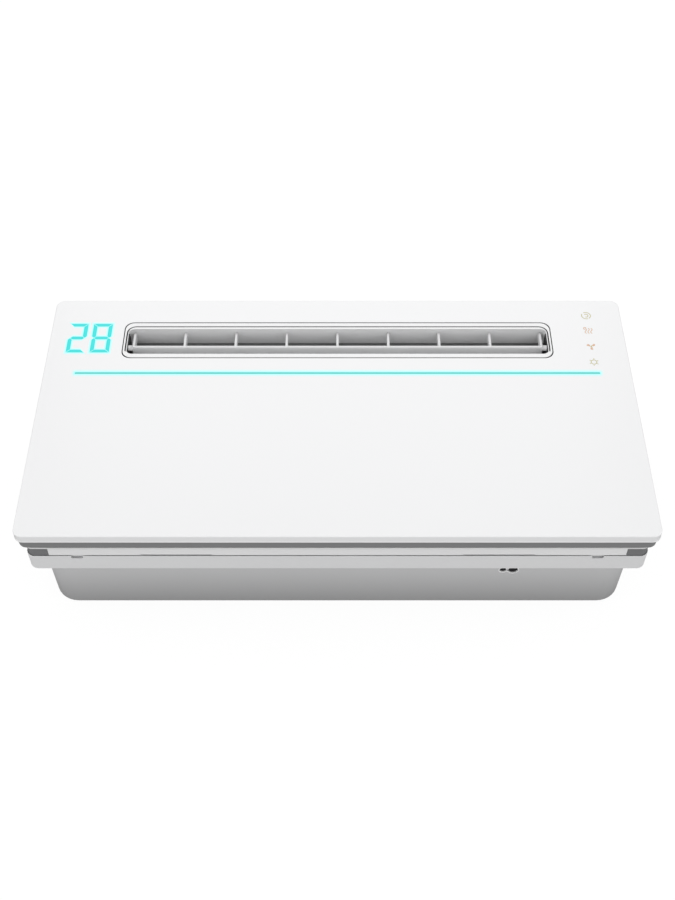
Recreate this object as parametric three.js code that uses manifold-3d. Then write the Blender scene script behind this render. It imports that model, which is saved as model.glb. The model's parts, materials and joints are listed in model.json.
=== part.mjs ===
// Flat indoor unit of a split parking air conditioner, lying on its back with the face up.
// Millimetres, +Z out of the face, +Y towards the outlet edge, origin at the middle of the back face.
import * as THREE from "three";
import { mergeVertices } from "three/addons/utils/BufferGeometryUtils.js";
import Module from "manifold-3d";

const wasm = await Module();
wasm.setup();

// Overall size
const panelWidth = 640;
const panelDepth = 328;
const faceHeight = 144;
const gap = 0.3;

// Layers of the housing, from the face down, with how far each is set in from the panel's outline
const panelThick = 3;
const rimBottom = 134;
const panelRadius = 10;
const carrierBottom = 121.7;
const carrierInset = 2.3;
const frameTop = 116;
const frameBottom = 103.5;
const frameLip = 1.5;
const frameInset = 5.8;
const frameRadius = 9;
const tongueInset = frameInset + 3.3;
const tongueTop = frameBottom + 0.5;
const flangeTop = 101.4;
const flangeBottom = 78.6;
const tubInset = 16;
const tubRadius = 26;
const wall = 3;
const floorBottom = 2.5;
const floorTop = floorBottom + wall;
const nearEdge = -panelDepth / 2;
const recessWidth = 540;
const recessDepth = 230;
const recessRadius = 12;

// Air outlet and louvre
const outletWidth = 466;
const outletNear = 81;
const outletFar = 122;
const outletMiddle = (outletNear + outletFar) / 2;
const bezelWidth = 474;
const bezelNear = 75;
const bezelFar = 127.5;
const bezelBottom = 117.8;
const bezelMiddle = (bezelNear + bezelFar) / 2;
const bezelRadius = 10;
const mouthRadius = 6;
const sleeve = 2;
const pivotY = 96;
const pivotZ = 136.5;
const louvreHalf = 228.1;
const louvreThick = 3;
const louvreDrop = 18;
const ribPitch = 56.7;
const ribReach = 24;
const ribThick = 2.6;
const pinRadius = 3;

// Light line, digits and touch keys
const lightY = 51.9;
const lightHalf = 285.3;
const lightWide = 2.2;

// Filter drawer, its window and the rails it slides between
const drawerHalf = 290.3;
const drawerFar = 60;
const windowWidth = 548;
const windowDepth = 190;
const windowMiddle = -42;
const netSeat = 4;
const railNear = -148;
const railFar = 64;
const railThick = 2.5;
const fingerX = 162.4;
const fingerHalf = 36;
const drawerTop = frameTop - frameLip - gap;

// Crossflow fan
const fanY = 84;
const fanZ = 55;
const wheelRadius = 44;
const wheelHalf = 215;
const bladeCount = 16;
const ductHalf = 229;
const shaftRadius = 4;
const hubRadius = 8;
const motorRadius = 33;

// Evaporator
const coilSlope = THREE.MathUtils.degToRad(22);
const coilNearY = -128;
const coilNearZ = 27;
const tubePitch = 21;
const tubeRuns = 8;
const coilLength = tubePitch * tubeRuns;
const coilThick = 26;
const coilLeft = -222;
const coilRight = 240;
const rowOffset = 6.5;
const coilTubeRadius = 3.5;

// Refrigerant ports in the near wall
const portZ = 62;
const liquidX = 171.6;
const liquidRadius = 3.2;
const suctionX = 182;
const suctionRadius = 4.7;
const pipeWall = 0.8;

// Fittings through the tub, and the screws
const drainY = -98;
const drainZ = 16;
const grommetY = 96;
const grommetZ = 48;
const drainBore = 5.4;
const drainHole = 7.8;
const grommetHole = 8.3;
const notchX = 262.6;
const keyholes = [-140, 0, 140];
const plateScrews = [[-230, -80], [230, -80], [-230, 80], [230, 80]];
const caseScrews = [[-308.2, -90], [308.2, -90], [-308.2, 100], [308.2, 100]];

const white = { color: 0xf4f5f6, roughness: 0.35, metalness: 0 };
const offWhite = { color: 0xe4e5e7, roughness: 0.45, metalness: 0 };
const darkGrey = { color: 0x76787b, roughness: 0.6, metalness: 0 };
const black = { color: 0x1c1d1f, roughness: 0.6, metalness: 0 };
const ductGrey = { color: 0xb4b6b9, roughness: 0.6, metalness: 0 };
const cyan = { color: 0x64cfc7, roughness: 0.3, metalness: 0 };
const copper = { color: 0xb8734a, roughness: 0.35, metalness: 1 };
const aluminium = { color: 0xc6cacd, roughness: 0.4, metalness: 1 };
const zinc = { color: 0xa9adb1, roughness: 0.45, metalness: 1 };
const rubber = { color: 0x202123, roughness: 0.85, metalness: 0 };
const board = { color: 0x1f5a3a, roughness: 0.5, metalness: 0 };
const foam = { color: 0x3a3b3d, roughness: 0.95, metalness: 0 };

const unit = new THREE.Group();

function solidFrom(geometry) {
  const bare = geometry.clone();
  bare.deleteAttribute("normal");
  bare.deleteAttribute("uv");
  const merged = mergeVertices(bare, 1e-4);
  const corners = merged.index.array;
  const kept = [];
  for (let i = 0; i < corners.length; i += 3) {
    const [a, b, c] = corners.slice(i, i + 3);
    if (a !== b && b !== c && c !== a) kept.push(a, b, c);
  }
  const vertProperties = merged.attributes.position.array;
  return new wasm.Manifold(new wasm.Mesh({ numProp: 3, vertProperties, triVerts: new Uint32Array(kept) }));
}

function geometryFrom(solid) {
  const made = solid.getMesh();
  const geometry = new THREE.BufferGeometry();
  geometry.setAttribute("position", new THREE.BufferAttribute(new Float32Array(made.vertProperties), 3));
  geometry.setIndex(new THREE.BufferAttribute(new Uint32Array(made.triVerts), 1));
  geometry.computeVertexNormals();
  return geometry;
}

function join(solids) {
  return solids.reduce((whole, piece) => whole.add(piece));
}

function addPart(group, name, solid, look, x = 0, y = 0, z = 0) {
  const mesh = new THREE.Mesh(geometryFrom(solid), new THREE.MeshStandardMaterial(look));
  mesh.name = name;
  mesh.position.set(x, y, z);
  group.add(mesh);
}

function block(x0, x1, y0, y1, z0, z1) {
  const box = new THREE.BoxGeometry(x1 - x0, y1 - y0, z1 - z0);
  return solidFrom(box.translate((x0 + x1) / 2, (y0 + y1) / 2, (z0 + z1) / 2));
}

function rod(axis, radius, from, to, across, up, sides = 16) {
  const drum = new THREE.CylinderGeometry(radius, radius, to - from, sides);
  const middle = (from + to) / 2;
  if (axis === "x") drum.rotateZ(-Math.PI / 2).translate(middle, across, up);
  if (axis === "y") drum.translate(across, middle, up);
  if (axis === "z") drum.rotateX(Math.PI / 2).translate(across, up, middle);
  return solidFrom(drum);
}

function roundedOutline(width, depth, radius) {
  const w = width / 2 - radius;
  const d = depth / 2 - radius;
  const outline = new THREE.Shape();
  outline.absarc(w, -d, radius, -Math.PI / 2, 0);
  outline.absarc(w, d, radius, 0, Math.PI / 2);
  outline.absarc(-w, d, radius, Math.PI / 2, Math.PI);
  outline.absarc(-w, -d, radius, Math.PI, Math.PI * 1.5);
  return outline;
}

// A rounded rectangle standing between two heights, centred on the given y
function plate(width, depth, radius, bottom, top, y = 0, x = 0) {
  const options = { depth: top - bottom, bevelEnabled: false, curveSegments: 3 };
  const geometry = new THREE.ExtrudeGeometry(roundedOutline(width, depth, radius), options);
  return solidFrom(geometry.translate(x, y, bottom));
}

// A plate that follows the panel's outline, set in all round
function layer(inset, radius, bottom, top) {
  return plate(panelWidth - 2 * inset, panelDepth - 2 * inset, radius, bottom, top);
}

// An outline of [y, z] points drawn out along X
function profile(points, x0, x1) {
  const outline = new THREE.Shape(points.map(([y, z]) => new THREE.Vector2(y, z)));
  const geometry = new THREE.ExtrudeGeometry(outline, { depth: x1 - x0, bevelEnabled: false });
  const turn = new THREE.Matrix4().set(0, 0, 1, x0, 1, 0, 0, 0, 0, 1, 0, 0, 0, 0, 0, 1);
  return solidFrom(geometry.applyMatrix4(turn));
}

// A sheet of even thickness whose inner side follows [y, z] points
function sheet(points, thick, x0, x1) {
  const outer = points.map(([y, z], i) => {
    const before = points[Math.max(i - 1, 0)];
    const after = points[Math.min(i + 1, points.length - 1)];
    const along = new THREE.Vector2(after[0] - before[0], after[1] - before[1]).normalize();
    return [y + along.y * thick, z - along.x * thick];
  });
  return profile([...outer, ...points.slice().reverse()], x0, x1);
}

function spiral(fromDeg, toDeg, fromRadius, toRadius, steps) {
  return Array.from({ length: steps + 1 }, (_, i) => {
    const angle = THREE.MathUtils.degToRad(fromDeg + ((toDeg - fromDeg) * i) / steps);
    const radius = fromRadius + ((toRadius - fromRadius) * i) / steps;
    return [fanY + radius * Math.cos(angle), fanZ + radius * Math.sin(angle)];
  });
}

// A route of straight stretches with rounded corners, sampled only where it bends
class PipeRoute extends THREE.Curve {
  constructor(corners, bendRadius, bendSteps) {
    super();
    this.places = [corners[0]];
    this.headings = [corners[1].clone().sub(corners[0]).normalize()];
    for (let i = 1; i < corners.length - 1; i++) {
      const arrive = corners[i].clone().sub(corners[i - 1]).normalize();
      const leave = corners[i + 1].clone().sub(corners[i]).normalize();
      const start = corners[i].clone().addScaledVector(arrive, -bendRadius);
      const end = corners[i].clone().addScaledVector(leave, bendRadius);
      const bend = new THREE.QuadraticBezierCurve3(start, corners[i], end);
      for (let step = 0; step <= bendSteps; step++) {
        this.places.push(bend.getPoint(step / bendSteps));
        this.headings.push(bend.getTangent(step / bendSteps));
      }
    }
    this.places.push(corners.at(-1));
    this.headings.push(corners.at(-1).clone().sub(corners.at(-2)).normalize());
  }
  getPointAt(u) {
    return this.places[Math.round(u * (this.places.length - 1))].clone();
  }
  getTangentAt(u) {
    return this.headings[Math.round(u * (this.places.length - 1))].clone();
  }
}

function tube(corners, radius, bendRadius, sides = 8, bendSteps = 4) {
  const route = new PipeRoute(corners, bendRadius, bendSteps);
  const ring = Array.from({ length: sides }, (_, i) => {
    const angle = (2 * Math.PI * i) / sides;
    return new THREE.Vector2(radius * Math.cos(angle), radius * Math.sin(angle));
  });
  const options = { steps: route.places.length - 1, extrudePath: route };
  return solidFrom(new THREE.ExtrudeGeometry(new THREE.Shape(ring), options));
}

// Face: glossy panel, dark carrier, outlet bezel, light guide, display and touch board
function frontPanel() {
  const shell = layer(0, panelRadius, rimBottom, faceHeight);
  const hollow = layer(wall, panelRadius - wall, rimBottom - 1, faceHeight - panelThick);
  const hole = plate(bezelWidth + 2 * gap, bezelFar - bezelNear + 2 * gap, bezelRadius, 130, 150, bezelMiddle);
  const slot = lightWide / 2 + gap;
  const lightSlot = block(-lightHalf - gap, lightHalf + gap, lightY - slot, lightY + slot, 130, 150);
  return shell.subtract(hollow).subtract(hole).subtract(lightSlot);
}

const carrierTop = rimBottom - gap;
const carrierPlateBottom = 130.4;

function panelCarrier() {
  const body = layer(carrierInset, frameRadius, carrierBottom, carrierTop);
  const hollow = layer(carrierInset + 4, 5, carrierBottom - 1, carrierPlateBottom);
  const opening = plate(528, 76, 8, 100, 150, outletMiddle);
  return body.subtract(hollow).subtract(opening);
}

function outletBezel() {
  const flange = plate(bezelWidth, bezelFar - bezelNear, bezelRadius, 138, faceHeight, bezelMiddle);
  const sleeveWidth = outletWidth + 2 * sleeve;
  const sleeveDepth = outletFar - outletNear + 2 * sleeve;
  const skirt = plate(sleeveWidth, sleeveDepth, mouthRadius + sleeve, bezelBottom, 138.5, outletMiddle);
  const mouth = plate(outletWidth, outletFar - outletNear, mouthRadius, 100, 150, outletMiddle);
  const bushHoles = rod("x", 4.9, -300, 300, pivotY, pivotZ, 20);
  return flange.add(skirt).subtract(mouth).subtract(bushHoles);
}

function louvreBush(side) {
  const outer = rod("x", 4.6, 0, 3.5, 0, 0, 16);
  const bush = outer.subtract(rod("x", pinRadius + gap, -1, 6, 0, 0, 16));
  return side > 0 ? bush : bush.mirror([1, 0, 0]);
}

function buildFace() {
  addPart(unit, "front_panel", frontPanel(), white);
  addPart(unit, "panel_carrier", panelCarrier(), darkGrey);
  addPart(unit, "outlet_bezel", outletBezel(), offWhite);
  const halfWide = lightWide / 2;
  const guide = block(-lightHalf, lightHalf, -halfWide, halfWide, 136.2, faceHeight);
  addPart(unit, "light_guide", guide, cyan, 0, lightY);
  const ledBoard = block(-lightHalf, lightHalf, -4, 4, 134.4, 135.9);
  addPart(unit, "light_board", ledBoard, board, 0, lightY);
  const digits = block(-304, -248, 78, 130, 134.4, 140.6);
  addPart(unit, "display_module", digits, black);
  addPart(unit, "touch_board", block(268, 294, 56, 150, 138.6, 140.6), board);
  for (const [name, side] of [["left", -1], ["right", 1]]) {
    const x = side * (outletWidth / 2 + gap);
    addPart(unit, "louvre_bush_" + name, louvreBush(side), rubber, x, pivotY, pivotZ);
  }
  let number = 1;
  for (const x of [-299, 299]) {
    for (const y of [-100, 20, 140]) {
      const post = rod("z", 5, frameTop + gap, carrierPlateBottom - gap, 0, 0, 12);
      addPart(unit, "panel_standoff_" + number, post, darkGrey, x, y);
      number += 1;
    }
  }
}

// Louvre, drawn about its own pivot line and moulded in two halves that meet beside the middle rib
function swingLouvre(side) {
  const half = louvreThick / 2;
  const seam = ribThick / 2;
  const [from, to] = side < 0 ? [-louvreHalf, seam] : [seam + gap / 2, louvreHalf];
  const bar = block(from, to, -half, half, -louvreDrop, half * 2);
  const pin = rod("x", pinRadius, louvreHalf - ribThick, outletWidth / 2 + 3, 0, 0, 12);
  const pieces = [bar, side < 0 ? pin.mirror([1, 0, 0]) : pin];
  const [first, last] = side < 0 ? [-4, 0] : [1, 4];
  for (let i = first; i <= last; i++) {
    const middle = Math.sign(i) * Math.min(Math.abs(i) * ribPitch, louvreHalf - ribThick / 2);
    const web = block(middle - ribThick / 2, middle + ribThick / 2, 0, ribReach - 5, -9, 2);
    const nose = rod("x", 5.5, middle - ribThick / 2, middle + ribThick / 2, ribReach - 5.5, -3.5, 12);
    pieces.push(web.add(nose));
  }
  return join(pieces);
}

function stepperMotor() {
  const can = rod("x", 12, 0, 17, pivotY, 128, 24);
  const nose = rod("x", pinRadius, -4.5, 0.5, pivotY, pivotZ, 12);
  const ears = block(0, 1.5, pivotY - 20, pivotY + 20, 125, 131);
  return join([can, nose, ears]);
}

function buildLouvre() {
  const louvre = new THREE.Group();
  louvre.position.set(0, pivotY, pivotZ);
  unit.add(louvre);
  addPart(louvre, "swing_louvre_left", swingLouvre(-1), offWhite);
  addPart(louvre, "swing_louvre_right", swingLouvre(1), offWhite);
  addPart(unit, "stepper_motor", stepperMotor(), zinc, outletWidth / 2 + 8);
}

// Middle frame: guides the filter drawer, carries the face, leaves the two near corners open
const cornerX = 290.6;
const cornerY = -104;

function midFrame() {
  const outer = layer(frameInset, frameRadius, frameBottom, frameTop);
  const inner = layer(frameInset + 4, frameRadius - 4, frameBottom - 1, frameTop - frameLip);
  const shell = outer.subtract(inner);
  const drawerMouth = block(-cornerX, cornerX, nearEdge, nearEdge + 20, frameBottom - 1, frameTop - frameLip);
  const filterWindow = plate(windowWidth, windowDepth, 8, 100, 130, windowMiddle);
  const ductWindow = plate(498, 58, 8, 100, 130, outletMiddle + 0.5);
  const tongueOuter = layer(tongueInset, frameRadius - wall, 95, tongueTop);
  const tongueInner = layer(tongueInset + 2.5, 4, 94, frameBottom + 1);
  const tongue = tongueOuter.subtract(tongueInner);
  let frame = shell.subtract(drawerMouth);
  for (const side of [-1, 1]) {
    const far = side * panelWidth / 2;
    const near = side * cornerX;
    const low = Math.min(far, near);
    const corner = block(low, low + Math.abs(far - near), nearEdge, cornerY, frameBottom, frameTop - frameLip);
    frame = frame.subtract(corner);
    const rail = side * (drawerHalf + gap);
    const railLow = Math.min(rail, rail + side * railThick);
    frame = frame.add(block(railLow, railLow + railThick, railNear, railFar, frameBottom, frameTop - 0.5));
    const ledge = Math.min(rail - side * 6, rail + side * 14);
    frame = frame.add(block(ledge, ledge + 20, railNear, railFar, frameBottom - 2, frameBottom - gap));
  }
  frame = frame.add(block(-311, 311, railFar, railFar + wall, frameBottom - 2, frameTop - 0.5));
  for (const [x, y] of caseScrews) {
    const boss = rod("z", 2.7, 84, tongueTop, x, y, 12).subtract(rod("z", 1.5, 80, 93, x, y, 8));
    frame = frame.add(boss);
  }
  const mouthUnder = block(-drawerHalf, drawerHalf, nearEdge, nearEdge + 24, frameBottom - gap, frameTop - frameLip);
  return frame.add(tongue).subtract(filterWindow).subtract(ductWindow).subtract(mouthUnder);
}

// Corner grille: a wall following the rounded corner, with upright slots
function intakeGrille(side) {
  const inset = frameInset + 3.2;
  const ring = layer(inset, 6, tongueTop + gap, frameTop - frameLip - gap)
    .subtract(layer(inset + 2, 4, frameBottom - 1, frameTop + 1));
  const right = block(294, 320, -170, cornerY + gap, 90, 130);
  let grille = ring.intersect(right.translate([0, -2 * gap, 0]));
  for (let i = 0; i < 3; i++) {
    const x = 296.5 + i * 5;
    grille = grille.subtract(block(x, x + 2.6, -165, -150, frameBottom + 2, frameTop - 3.5));
  }
  for (let i = 0; i < 8; i++) {
    const y = -148 + i * 5.4;
    grille = grille.subtract(block(305, 318, y, y + 2.8, frameBottom + 2, frameTop - 3.5));
  }
  return side > 0 ? grille : grille.mirror([1, 0, 0]);
}

function filterTray() {
  const front = block(-drawerHalf, drawerHalf, nearEdge + frameInset, -155, frameBottom, drawerTop);
  const tray = block(-drawerHalf, drawerHalf, -155.5, drawerFar, frameBottom, frameBottom + 6);
  const window = plate(windowWidth, windowDepth, 6, 100, 130, windowMiddle);
  const seat = plate(windowWidth + 12, windowDepth + 10, 8, frameBottom + netSeat, 130, windowMiddle);
  let frame = front.add(tray.subtract(window).subtract(seat));
  for (const x of [-160, 0, 160]) {
    frame = frame.add(block(x - 2, x + 2, -140, 56, frameBottom, frameBottom + 2.4));
  }
  for (const y of [-75, -10]) {
    frame = frame.add(block(-276, 276, y - 2, y + 2, frameBottom, frameBottom + 2.4));
  }
  for (const x of [-fingerX, fingerX]) {
    const finger = block(x - fingerHalf, x + fingerHalf, -165, -155.6, frameBottom - 1, frameBottom + 1.2);
    frame = frame.subtract(finger);
  }
  return frame;
}

function buildMiddle() {
  addPart(unit, "mid_frame", midFrame(), offWhite);
  addPart(unit, "intake_grille_left", intakeGrille(-1), black);
  addPart(unit, "intake_grille_right", intakeGrille(1), black);
  addPart(unit, "filter_tray", filterTray(), offWhite);
  const mesh = plate(windowWidth + 11, windowDepth + 9, 8, 0, 1, windowMiddle);
  addPart(unit, "filter_mesh", mesh, black, 0, 0, frameBottom + netSeat + gap);
}

// Rear casing: a flanged tub, with the wall plate in a recess of its back
function rearCasing() {
  const flange = layer(frameInset, frameRadius, flangeBottom, flangeTop);
  const tub = layer(tubInset, tubRadius, 0, flangeBottom + 1);
  const upper = layer(frameInset + wall, frameRadius - wall, flangeBottom + wall, flangeTop + 1);
  const lower = layer(tubInset + wall, tubRadius - wall, floorTop, flangeTop + 1);
  const recess = plate(recessWidth, recessDepth, recessRadius, -1, floorBottom);
  let casing = flange.add(tub).subtract(upper).subtract(lower).subtract(recess);
  for (const x of [-notchX, notchX]) {
    casing = casing.subtract(block(x - 5.8, x + 5.8, -160, -154, flangeTop - 3.5, flangeTop + 1));
  }
  casing = casing.subtract(rod("y", liquidRadius + gap + 0.1, -155, -140, liquidX, portZ, 16));
  casing = casing.subtract(rod("y", suctionRadius + gap + 0.1, -155, -140, suctionX, portZ, 16));
  casing = casing.subtract(rod("x", drainHole, -310, -295, drainY, drainZ, 16));
  casing = casing.subtract(rod("x", grommetHole, -310, -295, grommetY, grommetZ, 20));
  for (const [x, y] of plateScrews) casing = casing.subtract(rod("z", 2.4, -1, 8, x, y, 8));
  for (const [x, y] of caseScrews) casing = casing.subtract(rod("z", 1.6, 70, 84, x, y, 8));
  return casing;
}

function mountingPlate() {
  let sheetMetal = plate(recessWidth - 4, recessDepth - 4, recessRadius - 2, 0, floorBottom - gap);
  for (const [x, y] of plateScrews) {
    sheetMetal = sheetMetal.subtract(rod("z", 2.4, -1, 8, x, y, 8));
    sheetMetal = sheetMetal.subtract(rod("z", 4, -1, 1.5, x, y, 12));
  }
  for (const x of keyholes) {
    sheetMetal = sheetMetal.subtract(rod("z", 9, -1, 8, x, 76, 20));
    sheetMetal = sheetMetal.subtract(block(x - 3.2, x + 3.2, 76, 96, -1, 8));
  }
  return sheetMetal.subtract(plate(300, 90, 14, -1, 8, -20));
}

function screw(shaft, length) {
  return rod("z", shaft * 1.85, -1.1, 0, 0, 0, 12).add(rod("z", shaft, -0.5, length, 0, 0, 8));
}

function drainSpigot() {
  const nose = rod("x", 7.4, -318, -296, drainY, drainZ, 20);
  const collar = rod("x", 9.5, -308, -304 - gap, drainY, drainZ, 20);
  return nose.add(collar).subtract(rod("x", drainBore, -330, -290, drainY, drainZ, 20));
}

function grommet() {
  const body = rod("x", grommetHole - gap, -308, -298, grommetY, grommetZ, 20);
  const outer = rod("x", 10.5, -308, -304 - gap, grommetY, grommetZ, 20);
  const inner = rod("x", 10.5, -301 + gap, -298, grommetY, grommetZ, 20);
  return join([body, outer, inner]);
}

function buildCasing() {
  addPart(unit, "rear_casing", rearCasing(), offWhite);
  addPart(unit, "mounting_plate", mountingPlate(), zinc);
  addPart(unit, "drain_spigot", drainSpigot(), offWhite);
  addPart(unit, "harness_grommet", grommet(), rubber);
  plateScrews.forEach(([x, y], i) => {
    addPart(unit, "plate_screw_" + (i + 1), screw(2, 4), zinc, x, y, 1.2);
  });
  caseScrews.forEach(([x, y], i) => {
    addPart(unit, "case_screw_" + (i + 1), screw(1.2, 13), zinc, x, y, flangeBottom - gap);
  });
}

// Fan housing and crossflow wheel
function buildDuct() {
  const top = bezelBottom - 1.3;
  const far = [...spiral(-130, 35, 45.8, 51, 14), [outletFar + 1.5, top]];
  addPart(unit, "fan_scroll", sheet(far, 2.2, -ductHalf, ductHalf), ductGrey);
  const near = [[outletNear - 1, top - 1], ...spiral(106, 140, 46.5, 47.5, 4)];
  addPart(unit, "stabiliser", sheet(near, 2, -ductHalf, ductHalf), ductGrey);
  addPart(unit, "coil_seal", block(-220, 220, 34.5, 44, 88.5, 101.2), foam);
  for (const [name, side] of [["left", -1], ["right", 1]]) {
    const low = side > 0 ? ductHalf + gap : -ductHalf - gap - 2;
    const base = floorTop + gap;
    const outline = [[34, base], [138, base], [138, 95], [130, 117], [75, 117], [75, 101], [34, 99]];
    const hole = side > 0 ? 9 : 11.3;
    const end = profile(outline, low, low + 2).subtract(rod("x", hole, -300, 300, fanY, fanZ, 20));
    addPart(unit, "duct_end_" + name, end, ductGrey);
  }
}

function fanWheel() {
  const pieces = [];
  for (let i = -1; i <= 1; i++) {
    const x = i * (wheelHalf - 1.5);
    const disc = rod("x", wheelRadius, x - 1.5, x + 1.5, 0, 0, 24);
    pieces.push(i !== 0 ? disc : disc.subtract(rod("x", 32, x - 3, x + 3, 0, 0, 24)));
  }
  const hub = rod("x", hubRadius, wheelHalf - 16, wheelHalf + 9, 0, 0, 16);
  const bore = rod("x", shaftRadius + gap, wheelHalf - 12, wheelHalf + 20, 0, 0, 16);
  const boss = rod("x", hubRadius, -wheelHalf, -wheelHalf + 12, 0, 0, 16);
  const axleBore = rod("x", shaftRadius + gap, -wheelHalf - 2, -wheelHalf + 8, 0, 0, 16);
  for (let i = 0; i < bladeCount; i++) {
    const turn = (360 * i) / bladeCount;
    const blade = block(1.5 - wheelHalf, wheelHalf - 1.5, 33.5, 43.2, -0.8, 0.8);
    pieces.push(blade.translate([0, -38, 0]).rotate([32, 0, 0]).translate([0, 38, 0]).rotate([turn, 0, 0]));
  }
  return join([...pieces, hub, boss]).subtract(bore).subtract(axleBore);
}

function buildFan() {
  const fan = new THREE.Group();
  fan.position.set(0, fanY, fanZ);
  unit.add(fan);
  addPart(fan, "fan_wheel", fanWheel(), ductGrey);
  addPart(fan, "fan_axle", rod("x", shaftRadius, -wheelHalf - 21, -wheelHalf + 7, 0, 0, 16), zinc);
  addPart(fan, "motor_shaft", rod("x", shaftRadius, wheelHalf - 11, 243.5, 0, 0, 16), zinc);
  const race = rod("x", 11, -ductHalf - 7, -ductHalf + 1, 0, 0, 20);
  const bearing = race.subtract(rod("x", shaftRadius + gap, -300, 0, 0, 0, 16));
  addPart(fan, "fan_bearing", bearing, rubber);
  const can = rod("x", motorRadius, 246, 286, 0, 0, 32).add(rod("x", 12, 243.8, 290, 0, 0, 20));
  addPart(fan, "fan_motor", can.subtract(rod("x", shaftRadius + gap, 240, 250, 0, 0, 16)), zinc);
  const cradle = block(254, 278, fanY - 38, fanY + 38, floorTop + gap, 46);
  const motorRoom = rod("x", motorRadius + gap, 240, 300, fanY, fanZ, 32);
  addPart(unit, "motor_bracket", cradle.subtract(motorRoom), zinc);
}

// Evaporator, drawn level and then tilted with its group
function coilHoles() {
  const holes = [];
  for (let run = 0; run < tubeRuns; run++) {
    for (const row of [1, -1]) {
      holes.push(rod("x", coilTubeRadius + 0.8, -240, 260, tubeY(run, row), row * rowOffset, 6));
    }
  }
  return holes;
}

function tubeY(run, row) {
  return tubePitch * (run + 0.5 - row * 0.25);
}

// One tube up the upper row and back down the lower row
function coilTube() {
  const order = [];
  for (let run = 0; run < tubeRuns; run++) order.push([tubeY(run, 1), rowOffset]);
  for (let run = tubeRuns - 1; run >= 0; run--) order.push([tubeY(run, -1), -rowOffset]);
  const left = coilLeft - 13;
  const right = coilRight + 14;
  const corners = [new THREE.Vector3(right - 6, ...order[0])];
  order.slice(1).forEach((next, i) => {
    const x = i % 2 === 0 ? left : right;
    corners.push(new THREE.Vector3(x, ...order[i]), new THREE.Vector3(x, ...next));
  });
  corners.push(new THREE.Vector3(right - 6, ...order.at(-1)));
  return tube(corners, coilTubeRadius, 7.8, 6, 2);
}

function buildCoil() {
  const coil = new THREE.Group();
  coil.position.set(0, coilNearY, coilNearZ);
  coil.rotation.x = coilSlope;
  unit.add(coil);
  const half = coilThick / 2;
  const drill = (solid) => coilHoles().reduce((rest, hole) => rest.subtract(hole), solid);
  addPart(coil, "evaporator_fins", drill(block(coilLeft, coilRight, 0, coilLength, -half, half)), aluminium);
  const endPlate = (x) => drill(block(x, x + 1.4, -1, coilLength + 1, -half - 1, half + 1));
  addPart(coil, "coil_plate_left", endPlate(coilLeft - gap - 1.4), zinc);
  addPart(coil, "coil_plate_right", endPlate(coilRight + gap), zinc);
  addPart(coil, "coil_tube", coilTube(), copper);
  addPart(coil, "temp_sensor", rod("y", 2.5, 60, 84, -150, half + 2.8, 10), black);
}

function coilPoint(y, z) {
  const place = new THREE.Vector3(0, y, z).applyAxisAngle(new THREE.Vector3(1, 0, 0), coilSlope);
  return [place.y + coilNearY, place.z + coilNearZ];
}

function connectionPipe(start, climbX, runY, runZ, portX, radius) {
  const [y, z] = start;
  const portY = -panelDepth / 2 + tubInset + 0.5;
  const corners = [
    new THREE.Vector3(coilRight + 8 + gap, y, z),
    new THREE.Vector3(climbX, y, z),
    new THREE.Vector3(climbX, runY, runZ),
    new THREE.Vector3(portX, runY, runZ),
  ];
  if (runZ !== portZ) corners.push(new THREE.Vector3(portX, runY, portZ));
  corners.push(new THREE.Vector3(portX, portY, portZ));
  const pipe = tube(corners, radius, 4.5, 10, 3);
  const bore = rod("y", radius - pipeWall, portY - 5, portY + 4, portX, portZ, 10);
  return pipe.subtract(bore);
}

function buildPipes() {
  const liquid = connectionPipe(coilPoint(tubeY(0, 1), rowOffset), 262, -130, 76, liquidX, liquidRadius);
  addPart(unit, "liquid_pipe", liquid, copper);
  const suction = connectionPipe(coilPoint(tubeY(0, -1), -rowOffset), 274, -139, portZ, suctionX, suctionRadius);
  addPart(unit, "suction_pipe", suction, copper);
  const plugY = -panelDepth / 2 + tubInset + 1.5;
  for (const [name, x, radius] of [["liquid", liquidX, liquidRadius], ["suction", suctionX, suctionRadius]]) {
    const plug = rod("y", radius - pipeWall - gap, plugY, plugY + 2.5, x, portZ, 10);
    addPart(unit, name + "_port_plug", plug, rubber);
  }
  const trough = block(-268, 268, -144, -90, floorTop + gap, 24)
    .subtract(block(-266, 266, -142, -92, floorTop + gap + 2, 30));
  const coilRoom = block(-245, 270, -134, -80, 12.4, 40);
  addPart(unit, "drain_pan", trough.subtract(coilRoom), black);
}

// Control box, its cover and board
function buildControl() {
  const box = block(-290, -242, 66, 137, floorTop + gap, 84)
    .subtract(block(-288.4, -243.6, 67.6, 135.4, floorTop + gap + 1.6, 90));
  const wireHole = rod("x", 11, -305, -290, grommetY, grommetZ, 16);
  addPart(unit, "control_box", box.subtract(wireHole), black);
  addPart(unit, "control_cover", block(-290, -242, 66, 137, 84 + gap, 85.9), black);
  addPart(unit, "control_board", block(-287, -245, 69, 134, 20, 21.6), board);
}

buildFace();
buildLouvre();
buildMiddle();
buildCasing();
buildDuct();
buildFan();
buildCoil();
buildPipes();
buildControl();

export default unit;
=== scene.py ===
import json
import math

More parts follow.
